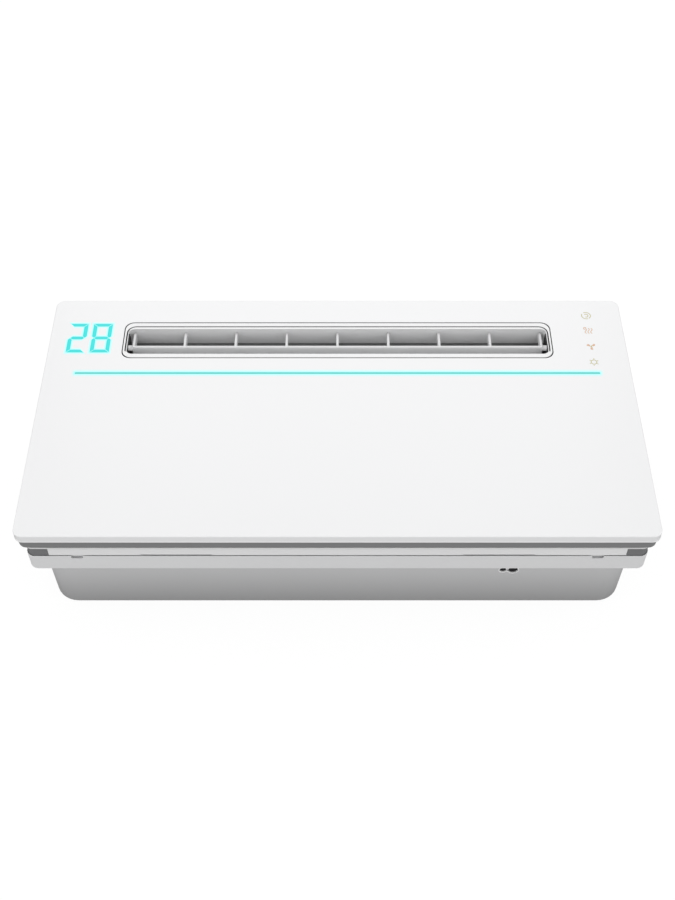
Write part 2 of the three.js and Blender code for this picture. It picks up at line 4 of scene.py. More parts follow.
import bmesh
import bpy
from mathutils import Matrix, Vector


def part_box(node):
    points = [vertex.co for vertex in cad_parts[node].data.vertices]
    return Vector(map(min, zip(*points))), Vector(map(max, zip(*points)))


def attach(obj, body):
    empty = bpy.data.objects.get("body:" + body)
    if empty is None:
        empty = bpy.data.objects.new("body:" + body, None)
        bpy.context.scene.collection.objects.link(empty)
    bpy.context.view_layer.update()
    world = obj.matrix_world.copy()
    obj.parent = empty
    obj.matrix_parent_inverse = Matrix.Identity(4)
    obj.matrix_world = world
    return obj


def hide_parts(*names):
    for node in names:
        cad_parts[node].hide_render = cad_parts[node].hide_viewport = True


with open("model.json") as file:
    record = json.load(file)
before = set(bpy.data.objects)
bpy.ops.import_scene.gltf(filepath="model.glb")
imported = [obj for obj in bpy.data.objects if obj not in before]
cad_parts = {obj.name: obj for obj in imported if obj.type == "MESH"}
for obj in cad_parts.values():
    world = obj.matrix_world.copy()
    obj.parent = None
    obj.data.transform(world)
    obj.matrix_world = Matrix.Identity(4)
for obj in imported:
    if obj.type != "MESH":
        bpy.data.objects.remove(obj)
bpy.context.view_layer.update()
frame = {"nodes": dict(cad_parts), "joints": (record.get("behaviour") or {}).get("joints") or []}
nodes = frame["nodes"]
flangeDepth = 0.0228
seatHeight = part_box("rear_casing")[1].z - flangeDepth
joints = {joint["name"]: joint for joint in frame["joints"]}
print("frame loaded:", len(nodes), "nodes")

# Camera, light and floor

view = {"place": (0, -0.8603, 1.1526), "tilt": 38.6, "lens": 50}
studio = {
    "skyStrength": 0.66, "aim": (0, 0, 0.07),
    "sideSize": 1.6, "sidePower": 6.8, "sidePlace": (1.9, -0.1, 0.9),
    "frontSize": 1.8, "frontPower": 12.3, "frontPlace": (0, -2.0, 1.1),
    "farSize": 1.2, "farPower": 4, "farPlace": (0, 1.1, 0.9),
    "floorSpan": 40, "floorDrop": 0.0002, "floorShade": 0.9,
    "floorBounce": 0.36, "floorShare": 0.86, "floorGlow": 1.05,
}


def makeCamera():
    data = bpy.data.cameras.new("camera")
    data.lens = view["lens"]
    data.clip_end = 100
    camera = bpy.data.objects.new("camera", data)
    camera.location = view["place"]
    camera.rotation_euler = (math.radians(view["tilt"]), 0, 0)
    bpy.context.scene.collection.objects.link(camera)
    bpy.context.scene.camera = camera


def softbox(name, size, power, place):
    data = bpy.data.lights.new(name, "AREA")
    data.shape = "SQUARE"
    data.size = size
    data.energy = power
    lamp = bpy.data.objects.new(name, data)
    lamp.location = place
    aim = Vector(studio["aim"]) - Vector(place)
    lamp.rotation_euler = aim.to_track_quat("-Z", "Y").to_euler()
    bpy.context.scene.collection.objects.link(lamp)


def makeStudio():
    sky = bpy.data.worlds.new("studioSky")
    sky.use_nodes = True
    tree = sky.node_tree
    lit = tree.nodes["Background"]
    lit.inputs["Color"].default_value = (1, 1, 1, 1)
    lit.inputs["Strength"].default_value = studio["skyStrength"]
    backdrop = addNode(tree, "ShaderNodeBackground", (0, -200))
    backdrop.inputs["Color"].default_value = (1, 1, 1, 1)
    rays = addNode(tree, "ShaderNodeLightPath", (0, 300))
    bySight = addNode(tree, "ShaderNodeMixShader", (250, 0))
    link(tree, rays, "Is Camera Ray", bySight, "Fac")
    link(tree, lit, "Background", bySight, 1)
    link(tree, backdrop, "Background", bySight, 2)
    link(tree, bySight, "Shader", tree.nodes["World Output"], "Surface")
    bpy.context.scene.world = sky
    x, y, z = studio["sidePlace"]
    softbox("leftSoftbox", studio["sideSize"], studio["sidePower"], (-x, y, z))
    softbox("rightSoftbox", studio["sideSize"], studio["sidePower"], (x, y, z))
    softbox("frontSoftbox", studio["frontSize"], studio["frontPower"], studio["frontPlace"])
    softbox("farSoftbox", studio["farSize"], studio["farPower"], studio["farPlace"])
    bpy.context.scene.view_settings.view_transform = "Standard"


def makeFloor():
    half = studio["floorSpan"] / 2
    mesh = bpy.data.meshes.new("studioFloor")
    corners = [(-half, -half, 0), (half, -half, 0), (half, half, 0), (-half, half, 0)]
    mesh.from_pydata(corners, [], [(0, 1, 2, 3)])
    floor = bpy.data.objects.new("studioFloor", mesh)
    floor.location.z = -studio["floorDrop"]
    bpy.context.scene.collection.objects.link(floor)
    paper = bpy.data.materials.new("palePaper")
    paper.use_nodes = True
    tree = paper.node_tree
    tree.nodes.clear()
    out = addNode(tree, "ShaderNodeOutputMaterial", (600, 0))
    bySight = addNode(tree, "ShaderNodeMixShader", (400, 0))
    seen = addNode(tree, "ShaderNodeMixShader", (200, -100))
    rays = addNode(tree, "ShaderNodeLightPath", (0, 300))
    bounce = addNode(tree, "ShaderNodeBsdfDiffuse", (0, 60))
    white = addNode(tree, "ShaderNodeBsdfDiffuse", (0, -80))
    glow = addNode(tree, "ShaderNodeEmission", (0, -220))
    bounce.inputs["Color"].default_value = (*[studio["floorBounce"]] * 3, 1)
    white.inputs["Color"].default_value = (*[studio["floorShade"]] * 3, 1)
    seen.inputs["Fac"].default_value = studio["floorShare"]
    glow.inputs["Strength"].default_value = studio["floorGlow"]
    link(tree, white, "BSDF", seen, 1)
    link(tree, glow, "Emission", seen, 2)
    link(tree, rays, "Is Camera Ray", bySight, "Fac")  # the floor looks white but lights the tub softly
    link(tree, bounce, "BSDF", bySight, 1)
    link(tree, seen, "Shader", bySight, 2)
    link(tree, bySight, "Shader", out, "Surface")
    mesh.materials.append(paper)


# Node helpers


def addNode(tree, kind, place, **settings):
    node = tree.nodes.new(kind)
    node.location = place
    for name, value in settings.items():
        setattr(node, name, value)
    return node


def link(tree, source, output, target, socket):
    tree.links.new(source.outputs[output], target.inputs[socket])


def newGroup(name, inputs, outputs):
    group = bpy.data.node_groups.new(name, "ShaderNodeTree")
    for label, kind, value in inputs:
        socket = group.interface.new_socket(label, in_out="INPUT", socket_type="NodeSocket" + kind)
        socket.default_value = value
    for label, kind in outputs:
        group.interface.new_socket(label, in_out="OUTPUT", socket_type="NodeSocket" + kind)
    start = addNode(group, "NodeGroupInput", (-600, 0))
    end = addNode(group, "NodeGroupOutput", (800, 0))
    return group, start, end


def useGroup(tree, group, place, **values):
    node = addNode(tree, "ShaderNodeGroup", place)
    node.node_tree = group
    for name, value in values.items():
        node.inputs[name].default_value = value
    return node


def mathStep(tree, operation, place, first=None, second=None):
    step = addNode(tree, "ShaderNodeMath", place, operation=operation)
    for index, value in enumerate((first, second)):
        if isinstance(value, tuple):
            link(tree, value[0], value[1], step, index)
        elif value is not None:
            step.inputs[index].default_value = value
    return step


# Shared effects


def makeMouldGrain():  # fine spark-eroded texture of a moulding tool
    group, start, end = newGroup(
        "mouldGrain",
        [("Scale", "Float", 1500.0), ("Patch", "Float", 0.35)],
        [("Height", "Float"), ("Tone", "Float")],
    )
    coords = addNode(group, "ShaderNodeTexCoord", (-600, 300))
    noise = addNode(group, "ShaderNodeTexNoise", (-300, 200))
    noise.inputs["Detail"].default_value = 3
    cells = addNode(group, "ShaderNodeTexVoronoi", (-300, -100), feature="SMOOTH_F1")
    half = mathStep(group, "MULTIPLY", (-450, -200), (start, "Scale"), 0.55)
    mixed = addNode(group, "ShaderNodeMix", (0, 100))
    link(group, coords, "Object", noise, "Vector")
    link(group, coords, "Object", cells, "Vector")
    link(group, start, "Scale", noise, "Scale")
    link(group, half, "Value", cells, "Scale")
    link(group, start, "Patch", mixed, "Factor")
    link(group, noise, "Fac", mixed, "A")
    link(group, cells, "Distance", mixed, "B")
    link(group, mixed, "Result", end, "Height")
    link(group, noise, "Fac", end, "Tone")
    return group


def makeToneDrift():  # slow change of tone and gloss across a surface
    group, start, end = newGroup(
        "toneDrift",
        [("Color", "Color", (1, 1, 1, 1)), ("Amount", "Float", 0.04), ("Scale", "Float", 6.0),
         ("Gloss", "Float", 0.4), ("Spread", "Float", 0.06)],
        [("Color", "Color"), ("Roughness", "Float")],
    )
    coords = addNode(group, "ShaderNodeTexCoord", (-600, 300))
    slow = addNode(group, "ShaderNodeTexNoise", (-400, 200))
    slow.inputs["Detail"].default_value = 4
    link(group, coords, "Object", slow, "Vector")
    link(group, start, "Scale", slow, "Scale")
    swing = mathStep(group, "SUBTRACT", (-200, 200), (slow, "Fac"), 0.5)
    byAmount = mathStep(group, "MULTIPLY", (0, 250), (swing, "Value"), (start, "Amount"))
    factor = mathStep(group, "ADD", (150, 250), (byAmount, "Value"), 1.0)
    tone = addNode(group, "ShaderNodeVectorMath", (350, 250), operation="SCALE")
    link(group, start, "Color", tone, "Vector")
    link(group, factor, "Value", tone, "Scale")
    link(group, tone, "Vector", end, "Color")
    bySpread = mathStep(group, "MULTIPLY", (0, -50), (swing, "Value"), (start, "Spread"))
    gloss = mathStep(group, "ADD", (200, -50), (bySpread, "Value"), (start, "Gloss"))
    link(group, gloss, "Value", end, "Roughness")
    return group


def makeEdgeWearAndHighlight():  # brighter line along edges: a painted highlight, which also stands for rubbed wear
    group, start, end = newGroup("edgeWearAndHighlight", [("Width", "Float", 0.0006)], [("Mask", "Float")])
    rounded = addNode(group, "ShaderNodeBevel", (-400, 100))
    flat = addNode(group, "ShaderNodeNewGeometry", (-400, -150))
    link(group, start, "Width", rounded, "Radius")
    along = addNode(group, "ShaderNodeVectorMath", (-200, 0), operation="DOT_PRODUCT")
    link(group, rounded, "Normal", along, 0)
    link(group, flat, "Normal", along, 1)
    turned = mathStep(group, "SUBTRACT", (0, 0), 1.0, (along, "Value"))
    raised = mathStep(group, "MULTIPLY", (150, 0), (turned, "Value"), 5.0)
    raised.use_clamp = True
    link(group, raised, "Value", end, "Mask")
    return group


def makeDrawnLines():  # lines left by rolling, drawing or turning metal
    group, start, end = newGroup(
        "drawnLines",
        [("Stretch", "Vector", (20, 900, 900))],
        [("Height", "Float"), ("Tone", "Float")],
    )
    coords = addNode(group, "ShaderNodeTexCoord", (-600, 300))
    scaled = addNode(group, "ShaderNodeVectorMath", (-400, 200), operation="MULTIPLY")
    lines = addNode(group, "ShaderNodeTexNoise", (-200, 200))
    lines.inputs["Scale"].default_value = 1
    lines.inputs["Detail"].default_value = 5
    link(group, coords, "Object", scaled, 0)
    link(group, start, "Stretch", scaled, 1)
    link(group, scaled, "Vector", lines, "Vector")
    link(group, lines, "Fac", end, "Height")
    link(group, lines, "Fac", end, "Tone")
    return group


mouldGrain = makeMouldGrain()
toneDrift = makeToneDrift()
edgeWearAndHighlight = makeEdgeWearAndHighlight()
drawnLines = makeDrawnLines()


# Finishes


def startFinish(name):
    material = bpy.data.materials.new(name)
    material.use_nodes = True
    tree = material.node_tree
    return material, tree, tree.nodes["Principled BSDF"]


def bumpFrom(tree, source, output, depth, shader):
    bump = addNode(tree, "ShaderNodeBump", (-250, -350))
    bump.inputs["Strength"].default_value = 1
    bump.inputs["Distance"].default_value = depth
    link(tree, source, output, bump, "Height")
    link(tree, bump, "Normal", shader, "Normal")


# What most plastics and most metals share; a finish changes what differs
plasticBase = {"driftScale": 7, "spread": 0.08, "rubWidth": 0.0005, "edgeLift": 1.06, "edgeAdd": 0.004,
               "specular": 0.5}
metalBase = {"rubWidth": 0.0005, "edgeLift": 1.25, "edgeAdd": 0}


def wornAndHighlitSurface(name, spec):  # drifting tone and gloss, with lighter edges that are a painted highlight and also stand for rubbed wear
    material, tree, shader = startFinish(name)
    drift = useGroup(tree, toneDrift, (-700, 200), Color=(*spec["color"], 1), Amount=spec["drift"],
                     Scale=spec["driftScale"], Gloss=spec["gloss"], Spread=spec["spread"])
    rub = useGroup(tree, edgeWearAndHighlight, (-700, 0), Width=spec["rubWidth"])
    edgeTone = addNode(tree, "ShaderNodeMix", (-350, 200), data_type="RGBA")
    lighter = [min(1, c * spec["edgeLift"] + spec["edgeAdd"]) for c in spec["color"]]
    edgeTone.inputs["B"].default_value = (*lighter, 1)
    link(tree, rub, "Mask", edgeTone, "Factor")
    link(tree, drift, "Color", edgeTone, "A")
    link(tree, edgeTone, "Result", shader, "Base Color")
    link(tree, drift, "Roughness", shader, "Roughness")
    return material, tree, shader


def mouldedPlastic(name, changes):
    spec = {**plasticBase, **changes}
    material, tree, shader = wornAndHighlitSurface(name, spec)
    grain = useGroup(tree, mouldGrain, (-700, -300), Scale=spec["grain"])
    bumpFrom(tree, grain, "Height", spec["depth"], shader)
    shader.inputs["Specular IOR Level"].default_value = spec["specular"]
    return material


def workedMetal(name, changes):
    spec = {**metalBase, **changes}
    material, tree, shader = wornAndHighlitSurface(name, spec)
    lines = useGroup(tree, drawnLines, (-700, -300), Stretch=spec["stretch"])
    bumpFrom(tree, lines, "Height", spec["depth"], shader)
    shader.inputs["Metallic"].default_value = 1
    return material


# painted glow on the face around the light line: its fade, colour, level and tint
paintedGlow = {"fade": 0.0062, "endFade": 0.7, "endInset": 0.0008, "color": (0.0, 1.0, 0.97), "level": 0.16,
            "filter": (0.45, 1.0, 1.0)}
faceFinish = {"color": (0.93, 0.932, 0.938), "gloss": 0.24, "drift": 0.012, "grain": 260.0, "depth": 0.000006}


# Glossy face moulding with painted glow: emission and a cyan tint painted on the face around the light line
def makeFaceFinish():
    low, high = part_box("light_guide")
    lineY, lineEnd = (low.y + high.y) / 2, high.x
    material = mouldedPlastic("faceWhiteGloss", faceFinish)
    tree = material.node_tree
    shader = tree.nodes["Principled BSDF"]
    coords = addNode(tree, "ShaderNodeTexCoord", (-1300, -600))
    parts = addNode(tree, "ShaderNodeSeparateXYZ", (-1150, -600))
    link(tree, coords, "Object", parts, "Vector")
    away = mathStep(tree, "SUBTRACT", (-1000, -500), (parts, "Y"), lineY)
    distance = mathStep(tree, "ABSOLUTE", (-850, -500), (away, "Value"))
    across = addNode(tree, "ShaderNodeMapRange", (-700, -500), interpolation_type="SMOOTHSTEP")
    across.inputs["From Min"].default_value = paintedGlow["fade"]
    across.inputs["From Max"].default_value = 0
    link(tree, distance, "Value", across, "Value")
    sideways = mathStep(tree, "ABSOLUTE", (-1000, -700), (parts, "X"))
    along = addNode(tree, "ShaderNodeMapRange", (-700, -750), interpolation_type="SMOOTHSTEP")
    along.inputs["From Min"].default_value = lineEnd + paintedGlow["fade"] * paintedGlow["endFade"]
    along.inputs["From Max"].default_value = lineEnd - paintedGlow["endInset"]
    link(tree, sideways, "Value", along, "Value")
    both = mathStep(tree, "MULTIPLY", (-500, -600), (across, "Result"), (along, "Result"))
    tint = addNode(tree, "ShaderNodeMix", (-300, -600), data_type="RGBA")
    tint.inputs["A"].default_value = (0, 0, 0, 1)
    tint.inputs["B"].default_value = (*paintedGlow["color"], 1)
    link(tree, both, "Value", tint, "Factor")
    link(tree, tint, "Result", shader, "Emission Color")
    shader.inputs["Emission Strength"].default_value = paintedGlow["level"]
    plain = shader.inputs["Base Color"].links[0].from_socket
    filtered = addNode(tree, "ShaderNodeMix", (-150, 300), data_type="RGBA", blend_type="MULTIPLY")
    filtered.inputs["B"].default_value = (*paintedGlow["filter"], 1)
    link(tree, both, "Value", filtered, "Factor")
    tree.links.new(plain, filtered.inputs["A"])
    link(tree, filtered, "Result", shader, "Base Color")
    return material


litBase = {"grain": 900, "patch": 0.5, "depth": 0.00001, "driftScale": 60, "gloss": 0.35, "spread": 0.05,
           "dim": 0.3}


def makeLitFinish(name, color, level, mottle):
    material, tree, shader = startFinish(name)
    cells = useGroup(tree, mouldGrain, (-700, -300), Scale=litBase["grain"], Patch=litBase["patch"])
    drift = useGroup(tree, toneDrift, (-700, 200), Color=(*color, 1), Amount=mottle,
                     Scale=litBase["driftScale"], Gloss=litBase["gloss"], Spread=litBase["spread"])
    link(tree, drift, "Color", shader, "Emission Color")
    dim = addNode(tree, "ShaderNodeVectorMath", (-400, 350), operation="SCALE")
    dim.inputs["Scale"].default_value = litBase["dim"]
    link(tree, drift, "Color", dim, "Vector")
    link(tree, dim, "Vector", shader, "Base Color")
    link(tree, drift, "Roughness", shader, "Roughness")
    bumpFrom(tree, cells, "Height", litBase["depth"], shader)
    shader.inputs["Emission Strength"].default_value = level
    return material


# painted shade on the tub: colour scale at the seat and at the back
tubPaintedShade = {"top": 0.86, "bottom": 0.46}


# Casing plastic with painted shade: its colour darkens from the seat down towards the back of the tub
def makeTubPaintedShadeFinish(spec):
    material = mouldedPlastic("casingTubPaintedShade", spec)
    tree = material.node_tree
    shader = tree.nodes["Principled BSDF"]
    before = shader.inputs["Base Color"].links[0].from_node
    coords = addNode(tree, "ShaderNodeTexCoord", (-900, 500))
    parts = addNode(tree, "ShaderNodeSeparateXYZ", (-750, 500))
    link(tree, coords, "Object", parts, "Vector")
    height = addNode(tree, "ShaderNodeMapRange", (-600, 500))
    height.inputs["From Min"].default_value = 0
    height.inputs["From Max"].default_value = seatHeight
    height.inputs["To Min"].default_value = tubPaintedShade["bottom"]
    height.inputs["To Max"].default_value = tubPaintedShade["top"]
    link(tree, parts, "Z", height, "Value")
    above = mathStep(tree, "GREATER_THAN", (-600, 750), (parts, "Z"), seatHeight)
    factor = mathStep(tree, "MAXIMUM", (-400, 600), (height, "Result"), (above, "Value"))
    paintedShade = addNode(tree, "ShaderNodeVectorMath", (-150, 400), operation="SCALE")
    link(tree, before, "Result", paintedShade, "Vector")
    link(tree, factor, "Value", paintedShade, "Scale")
    link(tree, paintedShade, "Vector", shader, "Base Color")
    return material


boardFinish = {"scale": 260, "gap": 0.03, "depth": 0.00003, "gloss": 0.38,
               "Color1": (0.012, 0.09, 0.045), "Color2": (0.016, 0.11, 0.05), "Mortar": (0.05, 0.2, 0.09)}


def makeBoardFinish():  # green solder mask with fine copper tracks under it
    material, tree, shader = startFinish("boardSolderMask")
    coords = addNode(tree, "ShaderNodeTexCoord", (-900, 0))
    tracks = addNode(tree, "ShaderNodeTexBrick", (-650, 0))
    tracks.inputs["Scale"].default_value = boardFinish["scale"]
    tracks.inputs["Mortar Size"].default_value = boardFinish["gap"]
    for socket in ("Color1", "Color2", "Mortar"):
        tracks.inputs[socket].default_value = (*boardFinish[socket], 1)
    link(tree, coords, "Object", tracks, "Vector")
    link(tree, tracks, "Color", shader, "Base Color")
    bumpFrom(tree, tracks, "Fac", boardFinish["depth"], shader)
    shader.inputs["Roughness"].default_value = boardFinish["gloss"]
    return material


casingSpec = {"color": (0.84, 0.842, 0.848), "gloss": 0.42, "drift": 0.02, "grain": 1500.0, "depth": 0.00002}
finishes = {
    # the frame finish is the casing plastic made lighter, to offset the shade that the panel's overhang casts
    # on the mid frame: painted light
    "frame": mouldedPlastic("frameWhiteSatin", {**casingSpec, "color": (0.93, 0.932, 0.936)}),
    "corner": mouldedPlastic("cornerGreyMatt", {"color": (0.2, 0.202, 0.206), "gloss": 0.6, "drift": 0.05,
                                                 "grain": 1300.0, "depth": 0.00003, "edgeLift": 1.1}),
    "casing": mouldedPlastic("casingWhiteSatin", casingSpec),
    "tub": makeTubPaintedShadeFinish(casingSpec),
    "face": makeFaceFinish(),
    "louvre": mouldedPlastic("louvreSatin", {"color": (0.8, 0.802, 0.808), "gloss": 0.4, "drift": 0.02,
                                              "grain": 1500.0, "depth": 0.00002}),
    "carrier": mouldedPlastic("carrierGreyMatt", {"color": (0.245, 0.247, 0.25), "gloss": 0.55, "drift": 0.05,
                                                   "grain": 1300.0, "depth": 0.00003, "edgeLift": 1.15}),
    "duct": mouldedPlastic("ductGreyMatt", {"color": (0.42, 0.422, 0.426), "gloss": 0.6, "drift": 0.06,
                                             "grain": 1100.0, "depth": 0.00003, "edgeLift": 1.1}),
    "black": mouldedPlastic("innerBlackMatt", {"color": (0.03, 0.031, 0.033), "gloss": 0.55, "drift": 0.15,
                                                "grain": 1200.0, "depth": 0.00004, "edgeLift": 1.6}),
    "rubber": mouldedPlastic("sealRubber", {"color": (0.018, 0.018, 0.019), "gloss": 0.8, "drift": 0.3,
                                             "grain": 900.0, "depth": 0.00005, "specular": 0.3}),
    "net": mouldedPlastic("netNylon", {"color": (0.05, 0.051, 0.054), "gloss": 0.5, "drift": 0.15,
                                        "grain": 2200.0, "depth": 0.00002}),
    "zinc": workedMetal("zincSheet", {"color": (0.62, 0.63, 0.64), "gloss": 0.38, "drift": 0.2,
                                       "driftScale": 70, "spread": 0.3,
                                       "stretch": (30, 700, 700), "depth": 0.00002}),
    "fins": workedMetal("finAluminium", {"color": (0.78, 0.79, 0.8), "gloss": 0.32, "drift": 0.1,
                                          "driftScale": 30, "spread": 0.2,
                                          "stretch": (700, 30, 700), "depth": 0.00001}),
    "copper": workedMetal("pipeCopper", {"color": (0.72, 0.36, 0.22), "gloss": 0.3, "drift": 0.25,
                                          "driftScale": 45, "spread": 0.25,
                                          "stretch": (25, 800, 800), "depth": 0.00001}),
    "light": makeLitFinish("lightGuideCyan", (0.12, 0.64, 0.60), 0.70, 0.06),
    "digit": makeLitFinish("digitCyan", (0.045, 0.74, 0.73), 0.70, 0.08),
    "halo": makeLitFinish("digitHaloCyan", (0.5, 1.0, 1.0), 0.72, 0.03),
    "haloFaint": makeLitFinish("digitHaloFaint", (0.74, 1.0, 1.0), 0.66, 0.02),
    "tan": mouldedPlastic("symbolTanInk", {"color": (0.72, 0.48, 0.33), "gloss": 0.4, "drift": 0.1,
                                            "driftScale": 200, "grain": 2500.0, "depth": 0.00001}),
    "gold": mouldedPlastic("symbolGoldInk", {"color": (0.56, 0.52, 0.27), "gloss": 0.4, "drift": 0.1,
                                              "driftScale": 200, "grain": 2500.0, "depth": 0.00001}),
    "board": makeBoardFinish(),
}
print("finishes made:", len(finishes))

# Mesh helpers


def roundedRing(width, depth, radius, z, midX=0.0, midY=0.0, steps=8):
    ring = []
    w, d = width / 2 - radius, depth / 2 - radius
    for signX, signY, start in ((1, -1, -90), (1, 1, 0), (-1, 1, 90), (-1, -1, 180)):
        for i in range(steps + 1):
            turn = math.radians(start + 90 * i / steps)
            x = midX + signX * w + radius * math.cos(turn)
            y = midY + signY * d + radius * math.sin(turn)
            ring.append(Vector((x, y, z)))
    return ring


def circleRing(radius, along, axis, centre, steps=32):
    ring = []
    for i in range(steps):
        turn = math.tau * i / steps
        a, b = radius * math.cos(turn), radius * math.sin(turn)
        offset = {"x": (along, a, b), "y": (a, along, -b), "z": (a, b, along)}[axis]
        ring.append(Vector(centre) + Vector(offset))
    return ring


def newPiece(name, bm):
    bmesh.ops.recalc_face_normals(bm, faces=bm.faces[:])
    mesh = bpy.data.meshes.new(name)
    bm.to_mesh(mesh)
    bm.free()
    piece = bpy.data.objects.new(name, mesh)
    bpy.context.scene.collection.objects.link(piece)
    return piece


def addLoft(bm, rings, closed=False):
    loops = [[bm.verts.new(point) for point in ring] for ring in rings]
    count = len(loops[0])
    pairs = list(zip(loops, loops[1:]))
    if closed:
        pairs.append((loops[-1], loops[0]))
    for low, high in pairs:
        for i in range(count):
            j = (i + 1) % count
            bm.faces.new((low[i], low[j], high[j], high[i]))
    if not closed:
        bm.faces.new(loops[0][::-1])
        bm.faces.new(loops[-1])


def loft(name, rings, closed=False):
    bm = bmesh.new()
    addLoft(bm, rings, closed)
    return newPiece(name, bm)


def addBar(bm, outline, start, end, axis="x"):  # an outline of pairs drawn out along an axis
    order = {"x": lambda p, t: (t, p[0], p[1]), "y": lambda p, t: (p[0], t, p[1]),
             "z": lambda p, t: (p[0], p[1], t)}
    rings = [[Vector(order[axis](point, t)) for point in outline] for t in (start, end)]
    addLoft(bm, rings)


def carve(piece, cutters):
    for cutter in cutters:
        change = piece.modifiers.new("cut", "BOOLEAN")
        change.object = cutter
        change.operation = "DIFFERENCE"
        change.solver = "EXACT"
    graph = bpy.context.evaluated_depsgraph_get()
    cut = bpy.data.meshes.new_from_object(piece.evaluated_get(graph))
    piece.modifiers.clear()
    piece.data = cut
    for cutter in cutters:
        bpy.data.objects.remove(cutter)


def refine(piece, edge=0.0, segments=2, angle=35):
    for polygon in piece.data.polygons:
        polygon.use_smooth = True
    if edge:
        rounding = piece.modifiers.new("edges", "BEVEL")
        rounding.width = edge
        rounding.segments = segments
        rounding.limit_method = "ANGLE"
        rounding.angle_limit = math.radians(angle)
        rounding.harden_normals = False
    flatten = piece.modifiers.new("normals", "WEIGHTED_NORMAL")
    flatten.keep_sharp = False


def finishPiece(piece, finish, body, replaced=(), edge=0.0, segments=2):
    piece.data.materials.clear()
    piece.data.materials.append(finishes[finish])
    if piece.type == "MESH":
        refine(piece, edge, segments)
    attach(piece, body)
    if replaced:
        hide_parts(*replaced)
    return piece


def dressNode(name, finish, edge=0.0004, segments=2):
    node = nodes[name]
    node.data.materials.clear()
    node.data.materials.append(finishes[finish])
    weld = node.modifiers.new("weld", "WELD")
    weld.merge_threshold = 0.00001
    refine(node, edge, segments)


def fillet(insetFrom, zFrom, insetTo, zTo, bulge, steps=4):  # quarter ellipse between two corners of a section
    points = []
    for i in range(steps + 1):
        turn = math.pi / 2 * i / steps
        if bulge == "topFirst":
            inset = insetTo + (insetFrom - insetTo) * (1 - math.sin(turn))
            z = zFrom + (zTo - zFrom) * (1 - math.cos(turn))
        else:
            inset = insetFrom + (insetTo - insetFrom) * (1 - math.cos(turn))
            z = zTo + (zFrom - zTo) * (1 - math.sin(turn))
        points.append((inset, z))
    return points


panelLow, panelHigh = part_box("front_panel")
panelSize = panelHigh - panelLow


def outlineRing(inset, z, radius):  # the panel's outline, set in
    corner = max(radius - inset, 0.0015)
    return roundedRing(panelSize.x - 2 * inset, panelSize.y - 2 * inset, corner, z)


# Face panel, light line and carrier

face = {"cornerRadius": 0.010, "edge": 0.0014, "lowerEdge": 0.0003, "wall": 0.003, "inkHeight": 0.00006,
        "holeGap": 0.0010, "slotGap": 0.00015, "sideDraw": 0.0004, "footHeight": 0.0012}


def makeFacePanel():
    top = panelHigh.z - face["inkHeight"]
    bottom = panelLow.z
    edge, lower, wall = face["edge"], face["lowerEdge"], face["wall"]
    draw, foot = face["sideDraw"], face["footHeight"]
    section = fillet(edge + draw, top, draw, top - edge, "topFirst", 5)
    section += [(draw, bottom + foot + draw), (draw * 0.3, bottom + foot), (0, bottom + foot - draw * 0.4)]
    section += fillet(0, bottom + lower, lower, bottom, "sideFirst", 3)
    section += [(wall, bottom), (wall, top - wall)]
    piece = loft("facePanel", [outlineRing(inset, z, face["cornerRadius"]) for inset, z in section])
    low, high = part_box("outlet_bezel")
    gap = face["holeGap"]
    size = high - low
    mouth = [roundedRing(size.x + 2 * gap, size.y + 2 * gap, bezel["outerRadius"], z, 0, (low.y + high.y) / 2)
             for z in (bottom - 0.01, top + 0.01)]
    low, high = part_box("light_guide")
    gap = face["slotGap"]
    size = high - low
    slot = [roundedRing(size.x + 2 * gap, size.y + 2 * gap, size.y / 2, z, 0, (low.y + high.y) / 2)
            for z in (bottom - 0.01, top + 0.01)]
    carve(piece, [loft("mouthCutter", mouth), loft("slotCutter", slot)])
    finishPiece(piece, "face", "housing", ["front_panel"], edge=0.0003, segments=3)


def makeLightGuide():
    low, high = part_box("light_guide")
    size = high - low
    middle = (low.y + high.y) / 2
    top = panelHigh.z - face["inkHeight"]
    rings = []
    for inset, z in [(0, low.z), (0, top - 0.0002), (0.0001, top - 0.00005), (0.0003, top)]:
        rings.append(roundedRing(size.x - 2 * inset, size.y - 2 * inset, size.y / 2 - inset, z, 0, middle))
    finishPiece(loft("lightLine", rings), "light", "housing", ["light_guide"])


carrier = {"edge": 0.0007, "skirt": 0.004, "web": 0.0033, "cornerRadius": 0.0113,
           "opening": (0.528, 0.076, 0.008)}


def makeCarrier():
    low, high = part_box("panel_carrier")
    inset = low.x - panelLow.x
    edge, skirt = carrier["edge"], carrier["skirt"]
    section = fillet(inset + edge, high.z, inset, high.z - edge, "topFirst", 3)
    section += fillet(inset, low.z + edge, inset + edge, low.z, "sideFirst", 3)
    section += [(inset + skirt, low.z), (inset + skirt, high.z - carrier["web"])]
    piece = loft("panelCarrierTray", [outlineRing(i, z, carrier["cornerRadius"]) for i, z in section])
    ringLow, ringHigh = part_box("outlet_bezel")
    middle = (ringLow.y + ringHigh.y) / 2
    opening = [roundedRing(*carrier["opening"], z, 0, middle) for z in (low.z - 0.01, high.z + 0.01)]
    carve(piece, [loft("carrierCutter", opening)])
    finishPiece(piece, "carrier", "housing", ["panel_carrier"], edge=0.0003)


# Each outline is its width, depth and corner radius, and its middle is its place along Y
bezel = {"outerRadius": 0.010, "mouth": (0.466, 0.0372, 0.006), "mouthMiddle": 0.0996,
         "well": (0.466, 0.0404, 0.006), "wellMiddle": 0.1012, "skirt": (0.470, 0.045, 0.008),
         "skirtMiddle": 0.1015, "skirtTop": 0.006,
         "lipDeep": 0.0013, "boreRadius": 0.0049, "boreSpan": (0.228, 0.25),
         "grooveDeep": 0.0008, "grooveIn": 0.0026, "grooveOut": 0.0041, "endStep": 6, "sideTuck": 0.0020,
         "shadeStripDown": 0.0002, "clear": 0.00002, "sealDown": 0.0002, "sealDeep": 0.0025, "sealClear": 0.00003}


